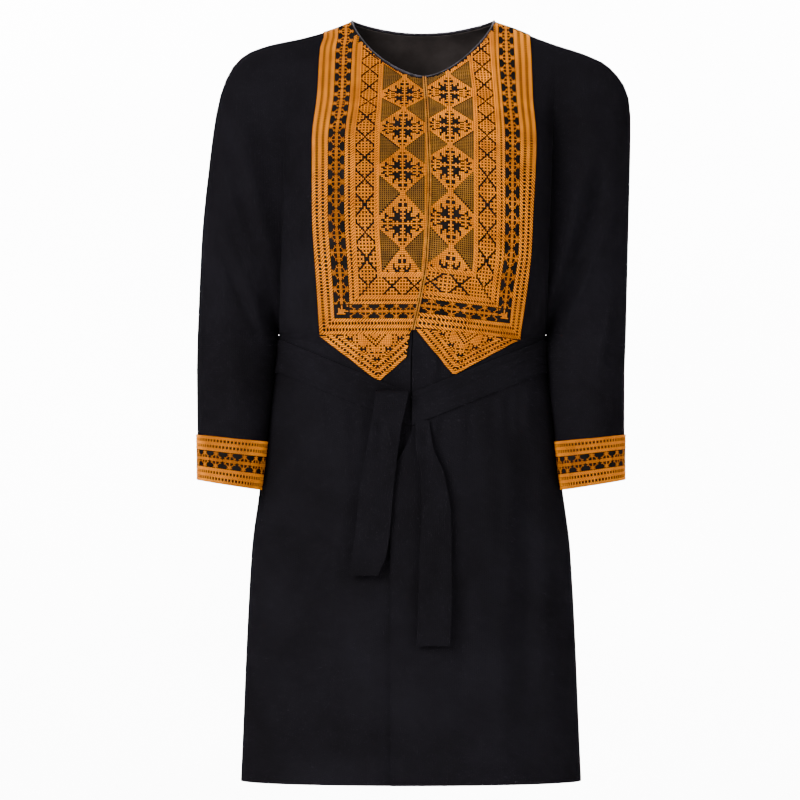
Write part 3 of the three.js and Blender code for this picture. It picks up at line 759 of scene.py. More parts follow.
@dataclass
class Grids:
    """How finely each stretch of a half coat is divided."""

    columns: int = 58
    rings: int = 92
    rays: int = 46
    sleeve: int = 42
    waist: int = 8
    belt: int = 8
    skirt: int = 104
    skirt_spread: float = 1.12  # above 1 where the skirt's rows stand closer together at its top

    def __post_init__(self) -> None:
        """Spaces the rows, closer together at the seams of the rings."""
        neck = round(self.columns * NECK_CORNER / 90)
        inner = np.linspace(0, NECK_CORNER, neck + 1)
        outer = np.linspace(NECK_CORNER, 90, self.columns - neck + 1)[1:]
        self.column = np.concatenate([inner, outer])[:, None] * DEG
        self.along = (1 - np.cos(np.linspace(0, math.pi, self.rings + 1))) / 2
        self.ray = np.linspace(0, 90, self.rays + 1)[:, None] * DEG
        self.down = np.linspace(0, 1, self.sleeve + 1)[:, None]


@dataclass
class HalfCoat:
    """One side's front and back as fine sheets, with normals that agree along their seams."""

    surface: CoatSurface
    side: Side
    grids: Grids = field(default_factory=Grids)

    def __post_init__(self) -> None:
        """Builds both sheets and their shared normals."""
        self.sheets = {face: welded(self.whole(face), self.facing(face)) for face in Face}
        keys = {face: point_keys(sheet.points) for face, sheet in self.sheets.items()}
        both = np.concatenate(list(keys.values()))
        _, place, count = np.unique(both, axis=0, return_inverse=True, return_counts=True)
        place = place.reshape(-1)
        sums = np.concatenate([corner_normals(s.points, s.quads) for s in self.sheets.values()])
        total = np.zeros((len(count), 3))
        np.add.at(total, place, sums)
        seam = (count > 1)[place]
        total = total[place]
        total[seam, 1] = 0
        split = len(keys[Face.FRONT])
        parts = {Face.FRONT: slice(0, split), Face.BACK: slice(split, None)}
        self.seam = {face: seam[part] for face, part in parts.items()}
        self.centre = {face: self.on_centre(face) for face in Face}
        self.normals = {}
        for face, part in parts.items():
            own = total[part].copy()
            own[self.centre[face], 0] = 0
            self.normals[face] = unit(own)

    def facing(self, face: Face) -> float:
        """The sign that says whether this face's quads have to be turned over."""
        return self.side.value * face.value

    def lines(self, face: Face) -> dict[str, Array]:
        """The grids of points of one face, by stretch.

        Args:
            face: Front or back.

        Returns:
            Grids of points, each rows by columns by three.
        """
        surface, grids = self.surface, self.grids
        column, along = grids.column, grids.along
        body = surface.body(self.side, face, column, along)
        fan = surface.fan(self.side, face, grids.ray, along)
        fan[0] = body[-1]
        sleeve = surface.sleeve(self.side, face, grids.down, along)
        sleeve[0] = fan[-1]
        waist = surface.waist(self.side, face, column, np.linspace(0, 1, grids.waist + 1))
        waist[:, 0] = body[:, -1]
        top = surface.belt_top(face, column)
        over_belt = top + surface.belt_width * np.linspace(0, 1, grids.belt + 1)
        belt = surface.skirt(self.side, face, column, over_belt)
        belt[:, 0] = waist[:, -1]
        share = np.linspace(0, 1, grids.skirt + 1) ** grids.skirt_spread
        drops = mix(top + surface.belt_width, surface.hem_drop, share)
        skirt = surface.skirt(self.side, face, column, drops)
        skirt[:, 0] = belt[:, -1]
        return {"body": body, "fan": fan, "sleeve": sleeve, "waist": waist, "belt": belt, "skirt": skirt}

    def whole(self, face: Face) -> Sheet:
        """All of one face as one sheet, not yet joined."""
        return reduce(Sheet.joined, map(grid_sheet, self.lines(face).values()))

    def on_centre(self, face: Face) -> Array:
        """Which points lie on the centre line: the first column of body, waist, belt and skirt.

        Args:
            face: Front or back.

        Returns:
            A truth value for each point of the face's sheet.
        """
        lines = self.lines(face)
        first = np.concatenate([lines[name][0] for name in ("body", "waist", "belt", "skirt")])
        wanted = {tuple(key) for key in point_keys(first)}
        return np.array([tuple(key) in wanted for key in point_keys(self.sheets[face].points)])


@dataclass
class Panels:
    """The four panels of the coat: each front and back with its half of the sleeve, in one cut."""

    halves: dict[Side, HalfCoat]
    cloth: Material
    thickness: float = 1.6
    seam_gap: float = 0.1
    back_seam_gap: float = -0.02
    flat_width: float = 0.31
    flat_length: float = 0.93

    def build(self) -> None:
        for side, face in product(Side, Face):
            name = f"{face.name.lower()}_{side.name.lower()}"
            half = self.halves[side]
            sheet = half.sheets[face]
            points = sheet.points.copy()
            points[half.seam[face], 1] += face.value * self.seam_gap / 2
            gap = FRONT_GAP if face is Face.FRONT else self.back_seam_gap / 2
            points[half.centre[face], 0] += side.value * gap
            opened = Sheet(points, sheet.quads, sheet.flat)
            wall = shell(opened, half.normals[face], -self.thickness, 0)
            panel = make_object(f"panel_{name}", wall, self.cloth)
            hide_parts(name)
            LOG.info("panel_%s: %d quads", name, 2 * len(sheet.quads))


# ---------------------------------------------------------------- stitches


@dataclass
class Stitches:
    """Raised stitches in flat places: four corners and a two-ended ridge for each."""

    corners: list[Array] = field(default_factory=list)
    ridges: list[Array] = field(default_factory=list)
    tall: list[Array] = field(default_factory=list)
    ridge_share: float = 0.62  # of the way from a stitch's middle to its ends
    slanted_share: float = 0.5  # the same where the ridge runs from corner to corner

    def add(self, corners: Array, tall: float = 1.0, slant: bool = False) -> None:
        """Adds stitches.

        Args:
            corners: Their corners, n by four by two, in order round each.
            tall: Their height as a share of a full stitch's.
            slant: Whether the ridge runs from corner to corner.
        """
        corners = np.asarray(corners, float).reshape(-1, 4, 2)
        if not len(corners):
            return
        middle = corners.mean(axis=1)
        if slant:
            ends = (corners[:, 0], corners[:, 2])
            pull = self.slanted_share
        else:
            ends = ((corners[:, 0] + corners[:, 3]) / 2, (corners[:, 1] + corners[:, 2]) / 2)
            pull = self.ridge_share
        self.corners.append(corners)
        self.ridges.append(np.stack([mix(middle, end, pull) for end in ends], axis=1))
        self.tall.append(np.full(len(corners), tall))

    def box(self, low: Array, high: Array, tall: float = 1.0, gap: float = 0.34) -> None:
        """Adds right-angled stitches, each with its ridge from corner to corner.

        Args:
            low: Their lower corners.
            high: Their upper corners.
            tall: Their height as a share of a full stitch's.
            gap: The bare ground between them.
        """
        low, high = np.broadcast_arrays(np.asarray(low, float), np.asarray(high, float))
        low, high = low.reshape(-1, 2) + gap / 2, high.reshape(-1, 2) - gap / 2
        second = np.stack([high[:, 0], low[:, 1]], axis=1)
        fourth = np.stack([low[:, 0], high[:, 1]], axis=1)
        self.add(np.stack([low, second, high, fourth], axis=1), tall, True)

    def gathered(self) -> tuple[Array, Array, Array]:
        """All corners, ridges and heights, each as one array."""
        return np.concatenate(self.corners), np.concatenate(self.ridges), np.concatenate(self.tall)


STITCH_CREASE = 60  # degrees above which a stitch's edge stays sharp
STITCH_FACES = np.array([[3, 2, 1, 0], [0, 1, 5, 4], [1, 2, 5, 5], [2, 3, 4, 5], [3, 0, 4, 4]])


def stitch_solid(lower: Array, upper: Array, lift: Array, base: float, height: float, up: Array) -> Solid:
    """Closed low roofs over the stitches' places.

    Args:
        lower: The corners on the cloth, n by four by three.
        upper: The ridges' ends on the cloth, n by two by three.
        lift: The stitches' heights, as shares.
        base: How far the corners stand off the cloth.
        height: How much farther a full ridge stands.
        up: Normals at corners and ridges, n by six by three.

    Returns:
        The solid.
    """
    off = np.full((len(lower), 6), base)
    off[:, 4:] += height * lift[:, None]
    points = np.concatenate([lower, upper], axis=1) + up * off[..., None]
    start = 6 * np.arange(len(lower))[:, None, None]
    return Solid(points.reshape(-1, 3), (STITCH_FACES + start).reshape(-1, 4))


def strokes(start: Array, thick: float, lean: float, low: float, high: float) -> tuple[Array, Array]:
    """Corners, along and across a band from low to high, of slanted strokes from their starts on."""
    along = np.stack([start, start + lean, start + lean + thick, start + thick], axis=1)
    return along, np.broadcast_to([low, high, high, low], along.shape)


def wound(corners: Array, sign: float) -> Array:
    """Stitches' corners, turned where needed so that all run the way round that the sign says."""
    u, v = corners[..., 0], corners[..., 1]
    twice_area = (u * np.roll(v, -1, 1) - np.roll(u, -1, 1) * v).sum(axis=1)
    return np.where((twice_area * sign > 0)[:, None, None], corners[:, ::-1], corners)


@dataclass(frozen=True)
class Motif:
    """A counted-thread repeat, charted from its middle: '#' is bare ground and '.' a stitch."""

    rows: tuple[str, ...]

    def stitched(self) -> Array:
        """The chart as truth values, row by column."""
        return np.array([[mark == "." for mark in row] for row in self.rows])

    def mirrored_down(self) -> Array:
        """The chart followed by its mirror, from one middle row to the next."""
        half = self.stitched()
        return np.concatenate([half, half[-2:0:-1]])


# From one bar of the cross border to halfway to the next: 17 across, 8 along
CROSS = Motif((
    ".................",
    "#...###...###...#",
    "#.#.###...###.#.#",
    "####.##...##.####",
    "#####.......#####",
    "#####.#...#.#####",
    "#######...#######",
    "########.########",
))

# A quarter of the eight-armed star: rows from its middle upwards, columns from its spine outwards
STAR = Motif((
    "..............",
    ".##.#.##.##...",
    ".#####....##..",
    "..######.#....",
    ".####...##....",
    "..###....#....",
    ".##.##........",
    "..#..#........",
    ".....#........",
    ".##...........",
    ".##...........",
    "..............",
    ".#............",
    "..............",
    "..............",
))


@dataclass
class PlastronLayout:
    """How the flat embroidery lies on one front: across is measured in from the outer edge."""

    side: Side
    rows: Table  # flat height above the lower border's edge, drop on the coat
    across: Table  # drop, then x of each of the widths below
    tilt: Table  # flat height, slope of the rows outwards
    point_outer: tuple[float, float]
    point_inner: tuple[float, float]
    point_tip: tuple[float, float]
    tilt_from: float = 0
    point_cut: tuple[tuple[float, float], tuple[float, float]] | None = None
    widths: tuple[float, ...] = (0, 19.3, 39.3, 49.5, 76, 80, 106.5, 132)

    def __post_init__(self) -> None:
        """Turns the tables into curves."""
        self.drop_of = Curve(*columns_of(self.rows))
        self.slope_of = Curve(*columns_of(self.tilt))
        drops, *lines = columns_of(self.across)
        self.lines = [Curve(drops, line) for line in lines]

    def x_at(self, across: Array, drop: Array) -> Array:
        """Place across the coat of a flat distance in from the outer edge, at a drop.

        Args:
            across: Flat distances.
            drop: Distances below the shoulder.

        Returns:
            The places.
        """
        marks = np.stack([line(drop) for line in self.lines])
        widths = np.array(self.widths)
        i = np.clip(np.searchsorted(widths, across, side="right") - 1, 0, len(widths) - 2)
        share = (across - widths[i]) / (widths[i + 1] - widths[i])
        low = np.take_along_axis(marks, i[None], 0)[0]
        high = np.take_along_axis(marks, (i + 1)[None], 0)[0]
        return mix(low, high, share)

    def seen(self, flat: Array) -> Array:
        """Where flat places come to lie: (x, drop) of each.

        Args:
            flat: Places as (across, height), in any layout.

        Returns:
            The same layout of (x, drop).
        """
        across, height = flat[..., 0], flat[..., 1]
        level = self.drop_of(height)
        x = self.x_at(across, level)
        drop = level + self.slope_of(height) * self.side.value * (x - self.tilt_from)
        return np.stack([self.x_at(across, drop), drop], axis=-1)

    def seen_point(self, flat: Array) -> Array:
        """Where places on the point lie, given as (across from its axis, down from its top edge).

        Args:
            flat: The places, in any layout.

        Returns:
            The same layout of (x, drop).
        """
        outer, inner, tip = (np.array(p) for p in (self.point_outer, self.point_inner, self.point_tip))
        middle = (outer + inner) / 2
        along = (inner - outer) / (2 * PointPattern.half_width)
        down = (tip - middle) / PointPattern.height
        return middle + flat[..., :1] * along + flat[..., 1:] * down


LAYOUTS = {
    Side.RIGHT: PlastronLayout(
        Side.RIGHT,
        rows=(
            (0, 371.6), (19.3, 352.8), (39.3, 336.0), (49.5, 327.2), (76, 302.8), (80, 299.3), (103.1, 272.9),
            (134.6, 242.8), (166.1, 209.2), (197.6, 180.9), (229.1, 156.2), (260.6, 131.4), (292.1, 108.7),
            (323.6, 91.6), (346.7, 76.4), (367.6, 61.6), (388.5, 48.6), (409.4, 35.7), (430.3, 23.5),
            (451.2, 12.0), (472, 2.5), (500, -7.1),
        ),
        across=(
            (19.9, -117.1, -100.2, -81.6, -71.7, -48.6, -45.1, -20.8, 2.3),
            (34.4, -121.5, -102.9, -83.4, -73.5, -49.6, -45.9, -21.4, 2.3),
            (91.2, -124.3, -104.9, -85.6, -75.7, -51.7, -48.5, -21.9, 1.4),
            (143.8, -129.7, -111.1, -91.2, -81.1, -55.2, -51.0, -24.5, 1.4),
            (227.7, -129.2, -111.2, -91.7, -81.0, -55.7, -52.1, -23.8, 0.9),
            (319.2, -124.2, -105.7, -86.5, -77.1, -51.2, -47.9, -25.5, -4.2),
            (370.9, -121.1, -103.3, -85.1, -75.6, -50.9, -47.3, -27.3, -8.4),
        ),
        tilt=((0, 0), (500, 0)),
        point_outer=(-123.2, 371.6),
        point_inner=(9.7, 371.6),
        point_tip=(-52.1, 427.0),
        point_cut=((-18.7, 397.4), (-14.6, 368.8)),
    ),
    Side.LEFT: PlastronLayout(
        Side.LEFT,
        rows=(
            (0, 367.4), (19.3, 350.3), (39.3, 333.3), (49.5, 325.7), (76, 299.3), (80, 295.7), (103.1, 270.3),
            (134.6, 238.2), (166.1, 206.5), (197.6, 174.7), (229.1, 151.6), (260.6, 128.4), (292.1, 108.0),
            (323.6, 88.8), (342, 76.2), (363, 61.0), (384, 46.1), (405, 31.3), (426, 17.7), (447, 5.1),
            (470, -5.9),
        ),
        across=(
            (18.7, 126.0, 106.6, 88.8, 80.0, 56.2, 53.3, 28.4, 2.9),
            (47.8, 127.5, 107.9, 89.1, 81.4, 56.5, 54.3, 28.9, 2.3),
            (91.2, 128.2, 109.1, 91.9, 84.0, 60.8, 58.1, 30.2, 3.7),
            (143.8, 131.6, 112.8, 94.9, 86.4, 62.2, 59.1, 31.0, 4.7),
            (180.6, 130.3, 112.0, 94.8, 86.5, 62.1, 59.0, 31.5, 4.9),
            (227.7, 127.6, 111.6, 94.8, 87.0, 61.9, 59.0, 31.9, 4.9),
            (272.3, 125.6, 111.0, 94.1, 86.3, 61.8, 58.8, 32.6, 3.3),
            (319.2, 120.8, 105.1, 89.2, 81.5, 58.2, 55.1, 28.6, -2.6),
            (370.9, 113.9, 99.8, 84.7, 77.6, 54.0, 51.7, 23.4, -9.6),
        ),
        tilt=((0, 0.115), (100, 0.12), (135, 0.1), (200, 0.06), (260, 0.05), (320, 0.03), (470, 0.02)),
        tilt_from=32,
        point_outer=(113.6, 376.8),
        point_inner=(-10.9, 363.1),
        point_tip=(35.5, 419.4),
    ),
}


TICK_COVER = 0.26  # how much of a dotted line's pitch its stitch covers


@dataclass
class BorderPattern:
    """The bands that frame a plastron, and the star field inside them, in flat places."""

    stripe: float = 4.3
    dotted: float = 3.2
    cross_from: float = 19.3
    cross_to: float = 39.3
    cross_bar: float = 38.4
    cross_pitch: float = 20.5
    double_to: float = 49.5
    lattice_to: float = 76
    field_from: float = 80
    lattice_first: float = 62.75
    lattice_pitch: float = 30.7
    lattice_cells: int = 13
    lattice_rows: int = 15
    lattice_reach: float = 6.9
    lattice_gap: float = 0.3
    line_half: float = 0.95
    quarter_clear: float = 0.8
    double_gap: float = 2.4
    corner_cells: int = 11
    dot_pitch: float = 4.1
    tick_tall: float = 0.8
    satin_pitch: float = 3.5
    satin_cover: float = 0.7
    star_middle: float = 106.5
    star_first: float = 71.6
    star_pitch: float = 63
    star_cell: float = 2.1
    star_cells: int = 13
    outline_cells: float = 1.0
    mesh_pitch: float = 2.35
    mesh_thread: float = 0.75
    mesh_clear: float = 0.8
    mesh_tall: float = 0.5
    height: float = 500
    width: float = 136

    def end(self, bottom: bool) -> float:
        """Where the bands along the bottom or up the side end."""
        return self.width if bottom else self.height

    @staticmethod
    def laid(along: Array, over: Array, bottom: bool) -> Array:
        """Flat places, from places along and across a band."""
        return np.stack([along, over] if bottom else [over, along], axis=-1)

    def satin(self, out: Stitches, bottom: bool, low: float, high: float) -> None:
        """A stripe of slanted satin stitches, mitred where the side meets the bottom.

        Args:
            out: Where the stitches go.
            bottom: Whether this is the stripe along the bottom.
            low: The stripe's edge nearer the outline.
            high: Its other edge.
        """
        start = np.arange(low - (high - low), self.end(bottom), self.satin_pitch)
        along, over = strokes(start, self.satin_pitch * self.satin_cover, high - low, low, high)
        corners = self.laid(np.maximum(along, over), over, bottom)
        out.add(corners[:, ::-1] if bottom else corners)

    def ticks(self, out: Stitches, bottom: bool, low: float, high: float) -> None:
        """The stitches between the black dots of a dotted line.

        Args:
            out: Where the stitches go.
            bottom: Whether this is the line along the bottom.
            low: The line's edge nearer the outline.
            high: Its other edge.
        """
        start = np.arange(high, self.end(bottom), self.dot_pitch)
        near = self.laid(start, np.full_like(start, low), bottom)
        far = self.laid(start + self.dot_pitch * TICK_COVER, np.full_like(start, high), bottom)
        out.box(near, far, self.tick_tall, 0)

    def chart(
        self, out: Stitches, cells: Array, bottom: bool, first: float, pitch: float, low: float, high: float
    ) -> None:
        """Repeats a chart along a band.

        Args:
            out: Where the stitches go.
            cells: Which cells are stitched, along the band by across it.
            bottom: Whether the band is the one along the bottom.
            first: Where the first repeat's first row has its middle.
            pitch: The length of a repeat.
            low: The band's edge nearer the outline.
            high: Its other edge.
        """
        rows, columns = np.nonzero(cells)
        long, wide = pitch / cells.shape[0], (high - low) / cells.shape[1]
        for repeat in np.arange(first, self.end(bottom), pitch):
            along = repeat + (rows - 0.5) * long
            corner = self.laid(along, low + columns * wide, bottom)[along > high - long]
            out.box(corner, corner + ((long, wide) if bottom else (wide, long)))

    def off_line(self, row: Array, column: Array) -> Array:
        """How far places in the lattice lie from its crossing lines, in cells.

        Args:
            row: Cells along the band from a crossing.
            column: Cells across it.

        Returns:
            The distances.
        """
        middle = (self.lattice_cells - 1) / 2
        half = self.lattice_rows / 2
        phase = np.abs((row + half) % self.lattice_rows - half)
        return np.abs(np.abs(column - middle) - phase * middle / self.lattice_reach)

    def lattice(self, out: Stitches, bottom: bool) -> None:
        """The band of dotted ground that black lines cross in lozenges.

        Args:
            out: Where the stitches go.
            bottom: Whether this is the stretch along the bottom.
        """
        count = self.lattice_cells
        cell = (self.lattice_to - self.double_to) / count
        long = self.lattice_pitch / self.lattice_rows
        start = self.lattice_to if bottom else self.double_to
        first = self.lattice_first
        steps = np.arange(round((start - first) / long), round((self.end(bottom) - first) / long))
        row, column = np.meshgrid(steps, np.arange(count), indexing="ij")
        from_middle = column - (count - 1) / 2
        line = self.off_line(row, column) < self.line_half
        line &= np.abs(from_middle) < (count - 1) / 2 - 0.4
        dots = (row % 2 == 1) & (column % 2 == 1)
        if not bottom:
            corner_square = row * long + first < self.lattice_to
            mitre = np.abs(from_middle - row) == 1
            line = np.where(corner_square, mitre & (row < 1) | (row > 0) & line, line)
        quarters = [(r, c) for r in (-0.25, 0.25) for c in (-0.25, 0.25)]
        whole = (~(line | dots), 1.0, [(0.0, 0.0)], -1.0)
        for keep, size, places, least in (whole, (line & ~dots, 0.5, quarters, self.quarter_clear)):
            for step_row, step_column in places:
                at_row, at_column = row[keep] + step_row, column[keep] + step_column
                clear = self.off_line(at_row, at_column) > least
                along = first + (at_row[clear] - size / 2) * long
                over = self.double_to + (at_column[clear] + 0.5 - size / 2) * cell
                corner = self.laid(along, over, bottom)
                step = (size * long, size * cell)
                out.box(corner, corner + (step if bottom else step[::-1]), gap=self.lattice_gap * size)

    def from_star(self, height: Array) -> Array:
        """How far above the nearest star's middle each height is."""
        half = self.star_pitch / 2
        return (height - self.star_first + half) % self.star_pitch - half

    def star_field(self, out: Stitches, threads: Stitches) -> None:
        """Stars in lozenges one above the other, and the open mesh beside them.

        Args:
            out: Where the full stitches go.
            threads: Where the mesh's thin threads go.
        """
        cell, half = self.star_cell, self.star_pitch / 2
        rows = np.arange(round(self.field_from / cell), round(self.height / cell))
        columns = np.arange(-self.star_cells, self.star_cells + 1)
        height, across = np.meshgrid(rows * cell, columns, indexing="ij")
        up = np.abs(self.from_star(height)) / cell
        inside = np.abs(across) + up
        rim = half / cell
        outline = (np.abs(inside - rim) <= self.outline_cells) | (np.abs(across) >= self.star_cells)
        chart = STAR.stitched()
        row = np.clip(np.round(up).astype(int), 0, chart.shape[0] - 1)
        column = np.clip(np.abs(across), 0, chart.shape[1] - 1)
        star = (inside < rim) & chart[row, column]
        keep = outline | star
        left = self.star_middle + (across[keep] - 0.5) * cell
        corner = np.stack([left, height[keep] - cell / 2], axis=1)
        out.box(corner, corner + cell)
        self.mesh(threads)

    def mesh(self, threads: Stitches) -> None:
        """Crossed threads in the triangles between the lozenges.

        Args:
            threads: Where they go.
        """
        pitch, thread = self.mesh_pitch, self.mesh_thread
        rows = np.arange(self.field_from, self.height, pitch)
        columns = np.arange(self.field_from, self.width, pitch)
        height, across = np.meshgrid(rows, columns, indexing="ij")
        inside = np.abs(across + pitch / 2 - self.star_middle) + np.abs(self.from_star(height))
        keep = inside > self.star_pitch / 2 + self.outline_cells * self.star_cell + self.mesh_clear
        corner = np.stack([across[keep], height[keep]], axis=1)
        threads.box(corner, corner + (pitch, thread), self.mesh_tall, 0)
        threads.box(corner, corner + (thread, pitch), self.mesh_tall + 0.05, 0)

    def corner(self, out: Stitches) -> None:
        """The cross border's corner: a bar on both inner sides and an arrow out to the point.

        Args:
            out: Where the stitches go.
        """
        low, high = self.cross_from, self.cross_to
        count = self.corner_cells
        cell = (high - low) / count
        row, column = np.meshgrid(np.arange(count - 1), np.arange(count - 1), indexing="ij")
        middle = count // 2
        spine = ((row == middle) & (column >= middle - 1)) | ((column == middle) & (row >= middle - 1))
        arrow = (np.abs(row - column) <= 1) & (row >= middle - 2) & (row <= middle + 1)
        wing = (row + column >= 2 * middle - 2) & (row + column <= 2 * middle) & (np.abs(row - column) <= 5)
        dots = (np.abs(row - middle) == 3) & (column > middle)
        dots |= (np.abs(column - middle) == 3) & (row > middle)
        inner = (row > middle + 2) & (column > middle + 2) & ((row + column) % 2 == 0)
        keep = (spine | arrow | wing | inner) & ~dots
        corner = low + np.stack([column[keep], row[keep]], axis=1) * cell
        out.box(corner, corner + cell)

    def build(self) -> tuple[Stitches, Stitches]:
        """All of the frame and the field.

        Returns:
            The full stitches and the thin threads.
        """
        out, threads = Stitches(), Stitches()
        one, gap = self.stripe, self.dotted
        outer = [0, one, one + gap, 2 * one + gap, 2 * (one + gap), self.cross_from]
        double = (self.double_to - self.cross_to - self.double_gap) / 2
        inner = [self.cross_to, self.cross_to + double, self.double_to - double, self.double_to]
        stripes = [(self.lattice_to, self.field_from)]
        stripes[:0] = [pair for edges in (outer, inner) for pair in zip(edges[::2], edges[1::2])]
        dotted = [pair for edges in (outer, inner) for pair in zip(edges[1:-1:2], edges[2::2])]
        cross = CROSS.mirrored_down()
        for bottom in (False, True):
            for low, high in stripes:
                self.satin(out, bottom, low, high)
            for low, high in dotted:
                self.ticks(out, bottom, low, high)
            self.chart(out, cross, bottom, self.cross_bar, self.cross_pitch, self.cross_from, self.cross_to)
            self.lattice(out, bottom)
        self.corner(out)
        self.star_field(out, threads)
        return out, threads


@dataclass
class PointPattern:
    """The point below the frame, in flat places measured from the middle of its top edge."""

    half_width = 67.0
    height = 57.5
    stripe: float = 3.8
    dotted: float = 2.9
    satin_pitch: float = 3.2
    satin_cover: float = 0.72
    dot_pitch: float = 4.1
    cell: float = 2.1

    def side_place(self, sign: float, along: Array, inward: Array) -> Array:
        """A place on one slanted side.

        Args:
            sign: Which side, by the sign of across.
            along: Distances along the side from its upper end.
            inward: Distances in from the side.

        Returns:
            The flat places.
        """
        upper = np.array([sign * self.half_width, 0])
        run = np.array([-sign * self.half_width, self.height])
        run = run / np.linalg.norm(run)
        inwards = np.array([-sign * run[1], -abs(run[0])])
        return upper + along[..., None] * run + inward[..., None] * inwards

    def build(self) -> Stitches:
        """The stripes down both sides and the flowered ground between them.

        Returns:
            The stitches.
        """
        out = Stitches()
        length = math.hypot(self.half_width, self.height)
        one, gap = self.stripe, self.dotted
        edges = [0, one, one + gap, 2 * one + gap, 2 * (one + gap), 3 * one + 2 * gap]
        for sign in (-1, 1):
            for low, high in zip(edges[::2], edges[1::2]):
                start = np.arange(0, length, self.satin_pitch)
                places = strokes(start, self.satin_pitch * self.satin_cover, high - low, low, high)
                self.keep_own_side(out, sign, self.side_place(sign, *places))
            for low, high in zip(edges[1:-1:2], edges[2::2]):
                start = np.arange(0, length, self.dot_pitch)
                places = strokes(start, self.dot_pitch * TICK_COVER, 0, low, high)
                self.keep_own_side(out, sign, self.side_place(sign, *places))
        self.ground(out, edges[-1])
        return out

    def keep_own_side(self, out: Stitches, sign: float, corners: Array) -> None:
        """Adds the stitches below the top edge and on their own side of the axis.

        Args:
            out: Where they go.
            sign: Which side, by the sign of across.
            corners: Their corners.
        """
        middle = corners.mean(axis=1)
        keep = (middle[:, 0] * sign > -0.4) & (middle[:, 1] > 0.8)
        corners = corners[keep]
        corners[..., 1] = np.maximum(corners[..., 1], 0.2)
        out.add(corners if sign < 0 else corners[:, ::-1])

    def ground(self, out: Stitches, border: float) -> None:
        """The stitched ground inside, with small black crosses, dots and a chevron.

        Args:
            out: Where the stitches go.
            border: How wide the striped border is.
        """
        cell = self.cell
        slope = self.half_width / self.height
        inset = border * math.hypot(1, slope)
        columns, rows = int(self.half_width / cell), int(self.height / cell)
        row, column = np.meshgrid(np.arange(rows), np.arange(-columns, columns + 1), indexing="ij")
        across, down = column * cell, (row + 0.5) * cell
        inside = np.abs(across) + cell / 2 < (self.height - down) * slope - inset
        black = np.zeros(row.shape, bool)
        for x0, y0 in ((-14, 2), (14, 2), (-7, 8), (7, 8), (0, 14)):
            near_x, near_y = np.abs(column - x0), np.abs(row - y0)
            black |= (near_x == near_y) & (near_x <= 2) | (near_x == 1) & (near_y == 0)
            black |= (near_x == 4) & (near_y <= 2) & (near_y % 2 == 0)
        black |= (row + np.abs(column) == 6) & (np.abs(column) <= 6)
        black |= (row + np.abs(column) == 3) & (np.abs(column) <= 3)
        black |= (np.abs(column) <= 3) & (row == 10) & (column % 2 == 0)
        keep = inside & ~black
        corner = np.stack([across[keep] - cell / 2, down[keep] - cell / 2], axis=1)
        out.box(corner, corner + cell)


# ---------------------------------------------------------------- finishes


def linear(code: str) -> tuple[float, float, float, float]:
    """Turns an sRGB hex colour into linear red, green and blue, with 1 for full cover."""
    parts = [int(code[i:i + 2], 16) / 255 for i in (1, 3, 5)]
    red, green, blue = (p / 12.92 if p <= 0.04045 else ((p + 0.055) / 1.055) ** 2.4 for p in parts)
    return red, green, blue, 1.0


def add_node(tree: Tree, kind: str, links: dict | None = None, **settings: object) -> bpy.types.Node:
    """Adds a node to a material.

    Args:
        tree: The material's nodes.
        kind: The node's type, without "ShaderNode".
        links: What each input is: a value, or the output socket that feeds it.
        settings: The node's own properties.

    Returns:
        The node.
    """
    node = tree.nodes.new("ShaderNode" + kind)
    for name, value in settings.items():
        setattr(node, name, value)
    for name, value in (links or {}).items():
        if isinstance(value, Socket):
            tree.links.new(value, node.inputs[name])
        else:
            node.inputs[name].default_value = value
    return node


@dataclass(frozen=True)
class Grain:
    """A noise over the object's own space."""

    size_mm: float
    detail: float = 2.0
    roughness: float = 0.55

    def place(self, tree: Tree, space: Socket) -> Socket:
        """Adds the noise to a material's nodes, laid in the given space."""
        return add_node(tree, "TexNoise", {
            "Vector": space,
            "Scale": 1 / (self.size_mm * MM),
            "Detail": self.detail,
            "Roughness": self.roughness,
        }).outputs["Fac"]


